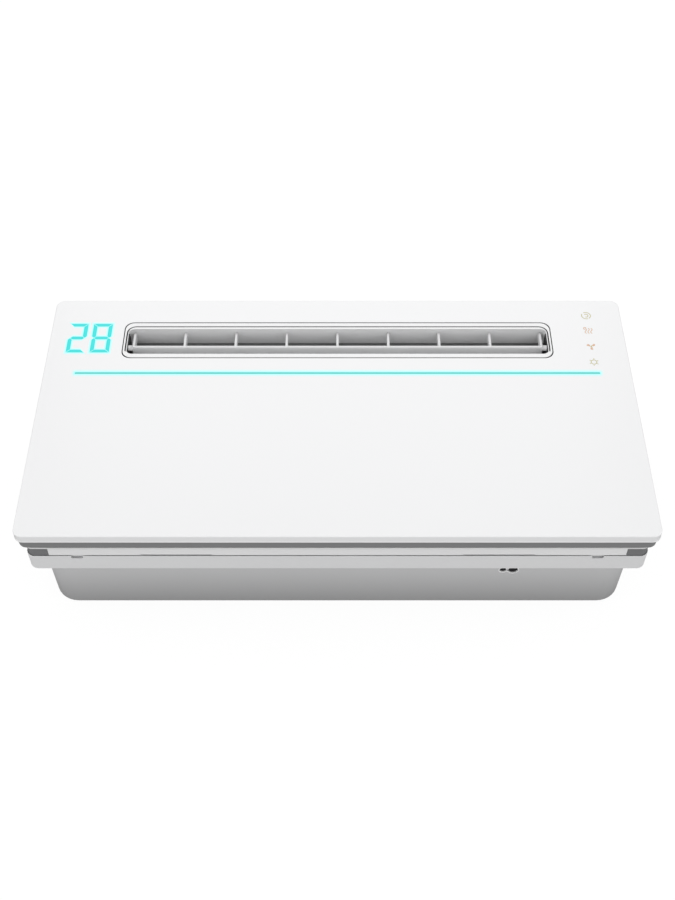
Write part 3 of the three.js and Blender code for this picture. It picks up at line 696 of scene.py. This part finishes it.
# The ring blends from its outer outline to the mouth, whose thin lip stands over a wider well
def makeBezel():
    low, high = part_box("outlet_bezel")
    size = high - low
    mouthWidth, mouthDepth, mouthRadius = bezel["mouth"]
    outerMiddle = (low.y + high.y) / 2

    def blendRing(share, z):
        width = size.x + (mouthWidth - size.x) * share
        depth = size.y + (mouthDepth - size.y) * share
        radius = bezel["outerRadius"] + (mouthRadius - bezel["outerRadius"]) * share
        middle = outerMiddle + (bezel["mouthMiddle"] - outerMiddle) * share
        return roundedRing(width, depth, radius, z, 0, middle)

    top = high.z
    skirtTop = top - bezel["skirtTop"]
    skirtWidth, skirtDepth, skirtRadius = bezel["skirt"]
    skirtRings = [roundedRing(skirtWidth, skirtDepth, skirtRadius, z, 0, bezel["skirtMiddle"])
                  for z in (low.z, skirtTop)]
    profile = [(0, skirtTop), (0, top - 0.0004), (0.02, top - 0.0001), (0.05, top), (0.86, top),
               (0.93, top - 0.0002), (0.97, top - 0.0005), (1.0, top - 0.0010)]
    wellWidth, wellDepth, wellRadius = bezel["well"]  # behind the lip, where the louvre turns
    wellRings = [roundedRing(wellWidth, wellDepth, wellRadius, z, 0, bezel["wellMiddle"])
                 for z in (top - bezel["lipDeep"], low.z)]
    rings = skirtRings + [blendRing(share, z) for share, z in profile] + wellRings
    piece = loft("outletRing", rings, closed=True)
    x, y, z = joints["louvre_swing"]["pos_m"]
    near, far = bezel["boreSpan"]
    bores = [loft("boreCutter", [circleRing(bezel["boreRadius"], along, "x", (x, y, z)) for along in span])
             for span in ((-far, -near), (near, far))]
    grooveFoot = top - bezel["grooveDeep"]
    carve(piece, bores + [grooveArm("grooveCutter", top + 0.001, grooveFoot, 0)])
    finishPiece(piece, "frame", "housing", ["outlet_bezel"])
    # a black rubber strip set in the groove: painted shade along the far side and ends of the mouth
    shadeStrip = grooveArm("outletGrooveShadeStrip", top - bezel["shadeStripDown"], grooveFoot, bezel["clear"])
    finishPiece(shadeStrip, "rubber", "housing")
    inner, outer = bezel["sealClear"], face["holeGap"] - bezel["sealClear"]
    sealTop, sealFoot = top - bezel["sealDown"], top - bezel["sealDeep"]
    seal = [roundedRing(size.x + 2 * grow, size.y + 2 * grow, bezel["outerRadius"] + grow, z, 0, outerMiddle)
            for z, grow in ((sealFoot, inner), (sealTop, inner), (sealTop, outer), (sealFoot, outer))]
    finishPiece(loft("outletSeal", seal, closed=True), "rubber", "housing")


def grooveArm(name, top, bottom, clear):  # along the far side and both ends of the mouth
    width, depth, radius = bezel["mouth"]
    inner, outer = bezel["grooveIn"] + clear, bezel["grooveOut"] - clear
    width -= 2 * bezel["sideTuck"]
    rings = [roundedRing(width + 2 * grow, depth + 2 * grow, radius + grow, z, 0, bezel["mouthMiddle"])
             for grow, z in ((inner, bottom), (inner, top), (outer, top), (outer, bottom))]
    first = bezel["endStep"] + (1 if clear else 0)
    return loft(name, [[ring[i] for ring in rings] for i in range(first, len(rings[0]) - first)])


mouthShadePlate = {"near": 0.0845, "nearTop": 0.0865, "far": 0.1148, "farTop": 0.1130, "bottom": 0.1195,
            "shoulder": 0.1400, "top": 0.1415, "setIn": (0.0007, 0.0001), "pinHole": 0.0036, "drill": 0.002}


def makeMouthShadePlates():  # dark end plates that paint the shade deep in the mouth's ends; the louvre pins pass through them
    y, z = joints["louvre_swing"]["pos_m"][1:]
    half = bezel["mouth"][0] / 2
    near, far, bottom = mouthShadePlate["near"], mouthShadePlate["far"], mouthShadePlate["bottom"]
    shoulder, top, drill = mouthShadePlate["shoulder"], mouthShadePlate["top"], mouthShadePlate["drill"]
    outline = [(near, bottom), (far, bottom), (far, shoulder), (mouthShadePlate["farTop"], top),
               (mouthShadePlate["nearTop"], top), (near, shoulder)]
    for side, sign in (("left", -1), ("right", 1)):
        bm = bmesh.new()
        addBar(bm, outline, *[sign * (half - inset) for inset in mouthShadePlate["setIn"]])
        piece = newPiece("mouthShadePlate_" + side, bm)
        reach = sorted((sign * (half - drill), sign * (half + drill)))
        carve(piece, [loft("pinCutter", [circleRing(mouthShadePlate["pinHole"], x, "x", (0, y, z)) for x in reach])])
        finishPiece(piece, "black", "housing")


bush = {"bore": 0.0032, "edge": 0.0004}


def makeBushes():
    for side in ("left", "right"):
        low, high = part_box("louvre_bush_" + side)
        centre = (0, (low.y + high.y) / 2, (low.z + high.z) / 2)
        outer, inner, edge = (high.y - low.y) / 2, bush["bore"], bush["edge"]
        profile = [(inner, low.x), (outer - edge, low.x), (outer, low.x + edge), (outer, high.x - edge),
                   (outer - edge, high.x), (inner, high.x)]
        rings = [circleRing(r, along, "x", centre) for r, along in profile]
        piece = loft("louvreBush_" + side, rings, closed=True)
        finishPiece(piece, "rubber", "housing", ["louvre_bush_" + side])


# Lit digits with painted glow round them, and touch symbols, printed in thin raised ink

digits = {"stroke": 0.0043, "gap": 0.00045, "halo": 0.0012, "haloDrop": 0.00002, "low": 0.0823, "high": 0.1262,
          "places": [(-0.2995, -0.2792, "abged"), (-0.2732, -0.2519, "abcdefg")]}


def inkShape(bm, outline, drop=0.0):
    top = panelHigh.z - drop
    lower = [bm.verts.new((x, y, top - 3 * face["inkHeight"])) for x, y in outline]
    upper = [bm.verts.new((x, y, top)) for x, y in outline]
    count = len(outline)
    for i in range(count):
        j = (i + 1) % count
        bm.faces.new((lower[i], lower[j], upper[j], upper[i]))
    bm.faces.new(upper)
    bm.faces.new(lower[::-1])


def segmentOutlines(grow):  # the lit strokes of the number, each grown outwards by the same amount
    s, g = digits["stroke"], digits["gap"]
    low, high = digits["low"], digits["high"]
    middle = (low + high) / 2
    outlines = []
    for left, right, lit in digits["places"]:
        for name, y, inward in (("a", high, -1), ("d", low, 1)):
            if name in lit:
                outer, inner = y - inward * grow, y + inward * (s + grow)
                outlines.append([(left + g - grow, outer), (right - g + grow, outer),
                                 (right - s - g, inner), (left + s + g, inner)])
        if "g" in lit:
            h = s / 2 + grow
            outlines.append([(left + s / 2 + g - grow, middle), (left + s + g, middle + h),
                             (right - s - g, middle + h), (right - s / 2 - g + grow, middle),
                             (right - s - g, middle - h), (left + s + g, middle - h)])
        for name, x, inward, end in (("f", left, 1, high), ("b", right, -1, high), ("e", left, 1, low),
                                     ("c", right, -1, low)):
            if name in lit:
                away = 1 if end < middle else -1
                near = middle - away * g
                outer, inner = x - inward * grow, x + inward * (s + grow)
                outlines.append([(outer, end + away * (g - grow)), (inner, end + away * (s + g)),
                                 (inner, near - away * s / 2), (x + inward * s / 2, near + away * grow),
                                 (outer, near - away * s / 2)])
    return outlines


def makeDigits():
    # digitGlow and digitGlowOuter are painted glow: lit copies of the strokes, grown outwards, on the face
    # around the digits
    layers = (("temperatureDigits", "digit"), ("digitGlow", "halo"), ("digitGlowOuter", "haloFaint"))
    for layer, (name, finish) in enumerate(layers):
        bm = bmesh.new()
        for outline in segmentOutlines(digits["halo"] * layer):
            inkShape(bm, outline, digits["haloDrop"] * layer)
        finishPiece(newPiece(name, bm), finish, "housing")


symbols = {"x": 0.2806, "rows": (0.1390, 0.1153, 0.0916, 0.0680), "radius": 0.0050, "line": 0.0009}


def inkStroke(bm, points, width):
    left, right = [], []
    for i, point in enumerate(points):
        before, after = points[max(i - 1, 0)], points[min(i + 1, len(points) - 1)]
        along = (Vector(after) - Vector(before)).normalized()
        side = Vector((-along.y, along.x)) * width / 2
        left.append(tuple(Vector(point) + side))
        right.append(tuple(Vector(point) - side))
    inkShape(bm, left + right[::-1])


def arcPoints(x, y, radius, startDeg, endDeg, steps=14, squeeze=1.0):
    points = []
    for i in range(steps + 1):
        turn = math.radians(startDeg + (endDeg - startDeg) * i / steps)
        points.append((x + radius * math.cos(turn), y + radius * squeeze * math.sin(turn)))
    return points


def makeSymbols():
    bm, tan = bmesh.new(), bmesh.new()
    x, r, w = symbols["x"], symbols["radius"], symbols["line"]
    swirl, breeze, blades, sun = symbols["rows"]
    inkStroke(bm, arcPoints(x, swirl, r, 150, 290), w)
    inkStroke(bm, arcPoints(x, swirl, r, -55, 120), w)
    inkStroke(bm, arcPoints(x, swirl, r * 0.45, 140, -120), w)
    for i in range(3):
        shift = (i - 1) * r * 0.62
        wave = [(x + shift + r * 0.22 * math.sin(t * 1.1), breeze + r * (0.8 - t * 0.27)) for t in range(7)]
        inkStroke(tan, wave, w)
    inkStroke(tan, arcPoints(x - r * 0.75, breeze + r * 0.75, r * 0.3, 20, 290, 10), w)
    for i in range(3):  # three swept blades round a hub
        turn = math.radians(40 + 120 * i)
        blade = [(0.3, -0.25), (0.75, -0.42), (1.05, -0.15), (1.0, 0.18), (0.6, 0.12), (0.3, 0.2)]
        inkShape(tan, [(x + r * (a * math.cos(turn) - b * math.sin(turn)),
                        blades + r * (a * math.sin(turn) + b * math.cos(turn))) for a, b in blade])
    inkShape(bm, arcPoints(x, blades, r * 0.2, 0, 340, 17))
    inkStroke(bm, arcPoints(x, sun, r * 0.62, 0, 178, 14), w)
    inkStroke(bm, arcPoints(x, sun, r * 0.62, 180, 358, 14), w)
    for i in range(6):
        turn = math.radians(60 * i + 25)
        tick = [(x + math.cos(turn) * r * t, sun + math.sin(turn) * r * t) for t in (0.8, 1.08)]
        inkStroke(bm, tick, w)
    finishPiece(newPiece("touchSymbols", bm), "gold", "housing")
    finishPiece(newPiece("touchSymbolsTan", tan), "tan", "housing")


# Louvre

louvre = {"thick": 0.003, "drop": 0.018, "rise": 0.003, "taper": 0.0002, "ribs": 9, "pitch": 0.0567,
          "ribThick": 0.0026, "reach": 0.024, "noseRadius": 0.0055, "noseDrop": 0.0035, "ribFoot": 0.009,
          "ribTop": 0.002, "pinOut": 0.0079, "pinRadius": 0.003, "pinEdge": 0.0005}


def louvreBarOutline(y, z):
    half, rise, drop = louvre["thick"] / 2, louvre["rise"], louvre["drop"]
    outline = []
    for i in range(9):  # rounded top
        turn = math.radians(180 * i / 8)
        outline.append((y + half * math.cos(turn), z + rise - half + half * math.sin(turn)))
    for i in range(9):  # the near face leans out a little towards the lower edge
        share = (i + 1) / 9
        outline.append((y - half - louvre["taper"] * share, z + rise - half - (drop + rise - half) * share))
    outline.append((y + half * 0.5, z - drop))
    return outline


def ribOutline(y, z):
    nose, reach = louvre["noseRadius"], louvre["reach"]
    centre = (y + reach - nose, z - louvre["noseDrop"])
    outline = [(y, z - louvre["ribFoot"]), (centre[0], centre[1] - nose)]
    for i in range(1, 12):
        turn = math.radians(-90 + 180 * i / 12)
        outline.append((centre[0] + nose * math.cos(turn), centre[1] + nose * math.sin(turn)))
    outline += [(centre[0], centre[1] + nose), (y, z + louvre["ribTop"])]
    return outline


def makeLouvre():
    x, y, z = joints["louvre_swing"]["pos_m"]
    low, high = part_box("swing_louvre_left")[0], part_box("swing_louvre_right")[1]
    end = high.x - louvre["pinOut"]
    bm = bmesh.new()
    addBar(bm, louvreBarOutline(y, z), -end, end)
    half = louvre["ribThick"] / 2
    for i in range(louvre["ribs"]):
        middle = (i - louvre["ribs"] // 2) * louvre["pitch"]
        middle = max(min(middle, end - half), half - end)
        addBar(bm, ribOutline(y, z), middle - half, middle + half)
    piece = newPiece("louvreBlade", bm)
    finishPiece(piece, "louvre", "louvre", ["swing_louvre_left", "swing_louvre_right"],
                edge=0.0006, segments=3)
    bm = bmesh.new()
    pin, edge = louvre["pinRadius"], louvre["pinEdge"]
    for inner, outer in ((-end + 0.001, low.x), (end - 0.001, high.x)):
        sign = 1 if outer > inner else -1
        profile = [(pin, inner), (pin, outer - sign * edge), (pin - edge, outer)]
        addLoft(bm, [circleRing(r, along, "x", (x, y, z)) for r, along in profile])
    finishPiece(newPiece("louvrePins", bm), "louvre", "louvre")


# Rear casing

casing = {"lipThick": 0.0004, "grooveDeep": 0.004, "flangeRadius": 0.0148, "flangeWall": 0.003,
          "flangeEdge": 0.0012, "lipEdge": 0.0003, "tubIn": 0.0102, "tubRadius": 0.042, "draft": 0.0002,
          "flare": 0.0014, "footEdge": 0.0012, "wall": 0.003, "floorTop": 0.0055,
          "recess": (0.540, 0.230, 0.012, 0.0025)}
casingHoles = {"portGap": 0.0015, "portFlare": 0.0028, "drain_spigot": 0.0078, "harness_grommet": 0.0083,
               "notchX": 0.2626, "notch": (0.0116, 0.006, 0.001), "notchDown": 0.0035, "notchIn": 0.0015,
               "plateScrew": 0.0024, "caseScrew": 0.0016}


def makeCasing():
    low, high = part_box("rear_casing")
    inset = low.x - panelLow.x
    seat = seatHeight
    tub = inset + casing["tubIn"]
    flangeR, tubR = casing["flangeRadius"], casing["tubRadius"]
    wall = casing["wall"]
    rings = []

    def follow(section, radius):
        rings.extend(outlineRing(i, z, radius) for i, z in section)

    recessWidth, recessDepth, recessRadius, recessTop = casing["recess"]
    rings.append(roundedRing(recessWidth, recessDepth, recessRadius, recessTop))
    rings.append(roundedRing(recessWidth, recessDepth, recessRadius, low.z))
    foot, draft = casing["footEdge"], casing["draft"]
    follow(fillet(tub + draft + foot, low.z, tub + draft, low.z + foot, "topFirst", 5), tubR)
    follow([(tub - casing["flare"], seat - 0.0002), (tub - casing["flare"] - 0.0004, seat)], tubR)
    edge, lipEdge = casing["flangeEdge"], casing["lipEdge"]
    follow(fillet(inset + edge, seat, inset, seat + edge, "topFirst", 4), flangeR)
    lip, grooveTop = inset + casing["lipThick"], high.z - casing["grooveDeep"]
    follow(fillet(inset, high.z - lipEdge, inset + lipEdge, high.z, "sideFirst", 3), flangeR)
    inner = inset + casing["flangeWall"]
    follow([(lip, high.z), (lip, grooveTop), (inner, grooveTop), (inner, seat + wall)], flangeR)
    follow([(tub + wall, seat + wall), (tub + wall, casing["floorTop"])], tubR)
    piece = loft("rearTub", rings)
    carve(piece, casingCutters(panelLow.y + tub, low, high))
    finishPiece(piece, "tub", "housing", ["rear_casing"])


def casingCutters(wallY, low, high):  # ports, side holes, latch notches and screw holes
    cutters = []
    for name in ("liquid", "suction"):
        portLow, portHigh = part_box(name + "_port_plug")
        centre = ((portLow.x + portHigh.x) / 2, 0, (portLow.z + portHigh.z) / 2)
        radius = (portHigh.z - portLow.z) / 2 + casingHoles["portGap"]
        spans = [(wallY - 0.003, radius + casingHoles["portFlare"]), (wallY + 0.0007, radius),
                 (wallY + 0.008, radius)]
        cutters.append(loft(name + "Cutter", [circleRing(r, along, "y", centre) for along, r in spans]))
    for name in ("drain_spigot", "harness_grommet"):
        lowPart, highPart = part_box(name)
        centre = (0, (lowPart.y + highPart.y) / 2, (lowPart.z + highPart.z) / 2)
        rings = [circleRing(casingHoles[name], x, "x", centre) for x in (-0.33, -0.28)]
        cutters.append(loft(name + "Cutter", rings))
    for side in (-1, 1):
        notch = roundedRing(*casingHoles["notch"], high.z - casingHoles["notchDown"],
                            side * casingHoles["notchX"], low.y + casingHoles["notchIn"])
        cutters.append(loft("notchCutter", [notch, [p + Vector((0, 0, 0.02)) for p in notch]]))
    for node in [n for n in nodes if "_screw_" in n]:
        lowPart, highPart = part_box(node)
        centre = ((lowPart.x + highPart.x) / 2, (lowPart.y + highPart.y) / 2, 0)
        onPlate = node.startswith("plate")
        span = (-0.01, 0.008) if onPlate else (0.07, 0.084)
        radius = casingHoles["plateScrew" if onPlate else "caseScrew"]
        cutters.append(loft(node + "Cutter", [circleRing(radius, z, "z", centre, 16) for z in span]))
    return cutters


# Dark intake corners beside the filter drawer

corner = {"back": 0.0010, "thick": 0.0016, "rise": 0.0002, "turn": 0.0155, "frontGap": 0.0006, "farGap": 0.0004,
          "slotLong": 0.008, "slotWide": 0.0026, "slotRadius": 0.0008, "slotTall": 0.0078, "slotPitch": 0.0054,
          "firstSlot": 0.006, "slots": 7}


def makeIntakeCorner(side):
    name = "intake_grille_" + side
    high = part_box(name)[1]
    sign = -1 if side == "left" else 1
    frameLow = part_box("mid_frame")[0]
    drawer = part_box("filter_tray")[1]
    inset = frameLow.x - panelLow.x + corner["back"]
    bottom, top = seatHeight + flangeDepth + corner["rise"], high.z

    def wallPath(extra):  # along the near side, round the corner and up the side
        radius = corner["turn"] - inset - extra
        midX, midY = panelHigh.x - inset - extra - radius, panelLow.y + inset + extra + radius
        path = [(drawer.x + corner["frontGap"], midY - radius)]
        for i in range(9):
            turn = math.radians(-90 + 90 * i / 8)
            path.append((midX + radius * math.cos(turn), midY + radius * math.sin(turn)))
        path.append((midX + radius, high.y - corner["farGap"]))
        return path

    bm = bmesh.new()
    outline = wallPath(0) + wallPath(corner["thick"])[::-1]
    if sign < 0:
        outline = [(-x, y) for x, y in outline[::-1]]
    addBar(bm, outline, bottom, top, "z")
    piece = newPiece("intakeCorner_" + side, bm)
    cutters = []
    for i in range(corner["slots"]):
        y = high.y - corner["firstSlot"] - corner["slotPitch"] * i
        x = sign * (panelHigh.x - inset)
        slot = roundedRing(corner["slotLong"], corner["slotWide"], corner["slotRadius"],
                           frameLow.z + 0.002, x, y, 3)
        cutters.append(loft("slotCutter", [slot, [p + Vector((0, 0, corner["slotTall"])) for p in slot]]))
    carve(piece, cutters)
    finishPiece(piece, "corner", "housing", [name], edge=0.0003)


# Refrigerant ports in the near wall

port = {"boreGap": 0.0011, "wallSet": 0.016, "collarWide": 0.0021, "collarOut": 0.0011, "plugSet": 0.0001}


def makePorts():
    for name in ("liquid", "suction"):
        low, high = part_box(name + "_port_plug")
        centre = ((low.x + high.x) / 2, 0, (low.z + high.z) / 2)
        bore = (high.z - low.z) / 2 + port["boreGap"]
        wallY = panelLow.y + port["wallSet"]
        wide, out = port["collarWide"], port["collarOut"]
        lip = bore + 0.0004
        profile = [(lip, wallY + 0.002), (lip, wallY - out + 0.0003), (lip + 0.0003, wallY - out),
                   (bore + wide - 0.0005, wallY - out), (bore + wide, wallY - out + 0.0005),
                   (bore + wide, wallY + 0.002)]
        rings = [circleRing(r, along, "y", centre) for r, along in profile]
        finishPiece(loft(name + "PortCollar", rings, closed=True), "frame", "housing")
        front = wallY + port["plugSet"]
        cap = [(bore + 0.0003, wallY + 0.004), (bore + 0.0003, front + 0.0004), (bore - 0.0001, front),
               (bore * 0.5, front), (bore * 0.42, front + 0.0004)]
        rings = [circleRing(r, along, "y", centre) for r, along in cap]
        finishPiece(loft(name + "PortCap", rings), "rubber", "housing", [name + "_port_plug"])


# Woven filter net, coil fins and fan wheel

net = {"pitch": 0.0025, "strand": 0.00032, "margin": 0.0004, "overlap": 0.8, "endStop": 0.002,
       "cornerStop": 0.006}


def makeFilterNet():
    low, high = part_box("filter_mesh")
    middle = (low.z + high.z) / 2
    r, margin = net["strand"], net["margin"]
    bm = bmesh.new()
    ring = [(math.cos(t) * r, math.sin(t) * r) for t in (math.tau * i / 6 for i in range(6))]
    for axis, start, end, first, last in (("y", low.x, high.x, low.y, high.y),
                                          ("x", low.y, high.y, low.x, high.x)):
        count = int((end - start - 2 * margin) / net["pitch"])
        lift = r * net["overlap"] if axis == "x" else -r * net["overlap"]
        for i in range(count + 1):
            at = start + margin + (end - start - 2 * margin) * i / count
            stop = net["cornerStop"] if i in (0, count) else net["endStop"]
            addBar(bm, [(at + a, middle + lift + b) for a, b in ring], first + stop, last - stop, axis)
    finishPiece(newPiece("filterNet", bm), "net", "filter_drawer", ["filter_mesh"])


coil = {"fins": 210, "finThick": 0.00016, "slope": 22, "near": (-0.128, 0.027), "length": 0.168, "half": 0.013,
        "left": -0.222, "right": 0.240}


def coilPlace(x, y, z):  # from the coil's own level frame to the part's frame
    turn = math.radians(coil["slope"])
    return Vector((x, coil["near"][0] + y * math.cos(turn) - z * math.sin(turn),
                   coil["near"][1] + y * math.sin(turn) + z * math.cos(turn)))


def makeFins():
    bm = bmesh.new()
    half, length, thick = coil["half"], coil["length"], coil["finThick"]
    for i in range(coil["fins"]):
        x = coil["left"] + (coil["right"] - coil["left"] - thick) * i / (coil["fins"] - 1)
        rings = [[coilPlace(at, y, z) for y, z in ((0, -half), (length, -half), (length, half), (0, half))]
                 for at in (x, x + thick)]
        addLoft(bm, rings)
    finishPiece(newPiece("coilFins", bm), "fins", "housing", ["evaporator_fins"])


wheel = {"blades": 34, "bladeThick": 0.0009, "bow": 0.11, "sweep": 0.30, "radius": 0.0435, "inner": 0.0335,
         "half": 0.215, "discs": 9, "discThick": 0.0022, "bore": 0.0045, "hub": 0.008, "hubEdge": 0.0006}


def makeFanWheel():
    y, z = joints["fan_spin"]["pos_m"][1:]
    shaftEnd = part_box("fan_wheel")[1].x
    bore, hub, hubEdge = wheel["bore"], wheel["hub"], wheel["hubEdge"]
    bm = bmesh.new()
    for i in range(wheel["blades"]):  # forward-curved blades
        start = math.tau * i / wheel["blades"]
        outline = []
        for side in (1, -1):
            for t in range(5) if side > 0 else range(4, -1, -1):
                radius = wheel["inner"] + (wheel["radius"] - 0.0006 - wheel["inner"]) * t / 4
                bend = wheel["bow"] * math.sin(math.pi * t / 4 * 0.8) + wheel["sweep"] * t / 4
                turn = start + bend + side * wheel["bladeThick"] / 2 / radius
                outline.append((y + radius * math.cos(turn), z + radius * math.sin(turn)))
        addBar(bm, outline, -wheel["half"] + 0.001, wheel["half"] - 0.001)
    for i in range(wheel["discs"]):
        at = -wheel["half"] + (2 * wheel["half"] - wheel["discThick"]) * i / (wheel["discs"] - 1)
        end = i in (0, wheel["discs"] - 1)
        inner, outer = bore if end else wheel["inner"] - 0.0015, wheel["radius"]
        profile = [(inner, at), (outer, at), (outer, at + wheel["discThick"]), (inner, at + wheel["discThick"])]
        addLoft(bm, [circleRing(r, along, "x", (0, y, z), 48) for r, along in profile], closed=True)
    for start, end in ((-wheel["half"], -wheel["half"] + 0.012), (wheel["half"] - 0.016, shaftEnd)):
        profile = [(bore, start), (hub, start), (hub, end - hubEdge), (hub - hubEdge, end), (bore, end)]
        addLoft(bm, [circleRing(r, along, "x", (0, y, z)) for r, along in profile], closed=True)
    finishPiece(newPiece("crossflowWheel", bm), "duct", "fan", ["fan_wheel"])


makeCamera()
makeStudio()
makeFloor()
print("studio ready")
makeFacePanel()
makeLightGuide()
makeCarrier()
makeBezel()
makeMouthShadePlates()
makeBushes()
makeDigits()
makeSymbols()
print("face made")
makeLouvre()
print("louvre made")
makeCasing()
makeIntakeCorner("left")
makeIntakeCorner("right")
makePorts()
print("casing made")
makeFilterNet()
makeFins()
makeFanWheel()
print("inner parts made")

plainNodes = {
    "frame": ["mid_frame", "filter_tray"],
    "casing": ["drain_spigot"],
    "carrier": [n for n in nodes if n.startswith("panel_standoff")],
    "black": ["display_module", "drain_pan", "control_box", "control_cover", "temp_sensor"],
    "duct": ["fan_scroll", "stabiliser", "duct_end_left", "duct_end_right"],
    "copper": ["coil_tube", "liquid_pipe", "suction_pipe"],
    "zinc": ["stepper_motor", "mounting_plate", "fan_axle", "motor_shaft", "fan_motor", "motor_bracket",
             "coil_plate_left", "coil_plate_right"] + [n for n in nodes if "_screw_" in n],
    "rubber": ["harness_grommet", "fan_bearing", "coil_seal"],
    "board": ["light_board", "touch_board", "control_board"],
}
for finish, names in plainNodes.items():
    for name in names:
        dressNode(name, finish, 0.0003 if finish in ("board", "rubber") else 0.0004)
print("nodes dressed")
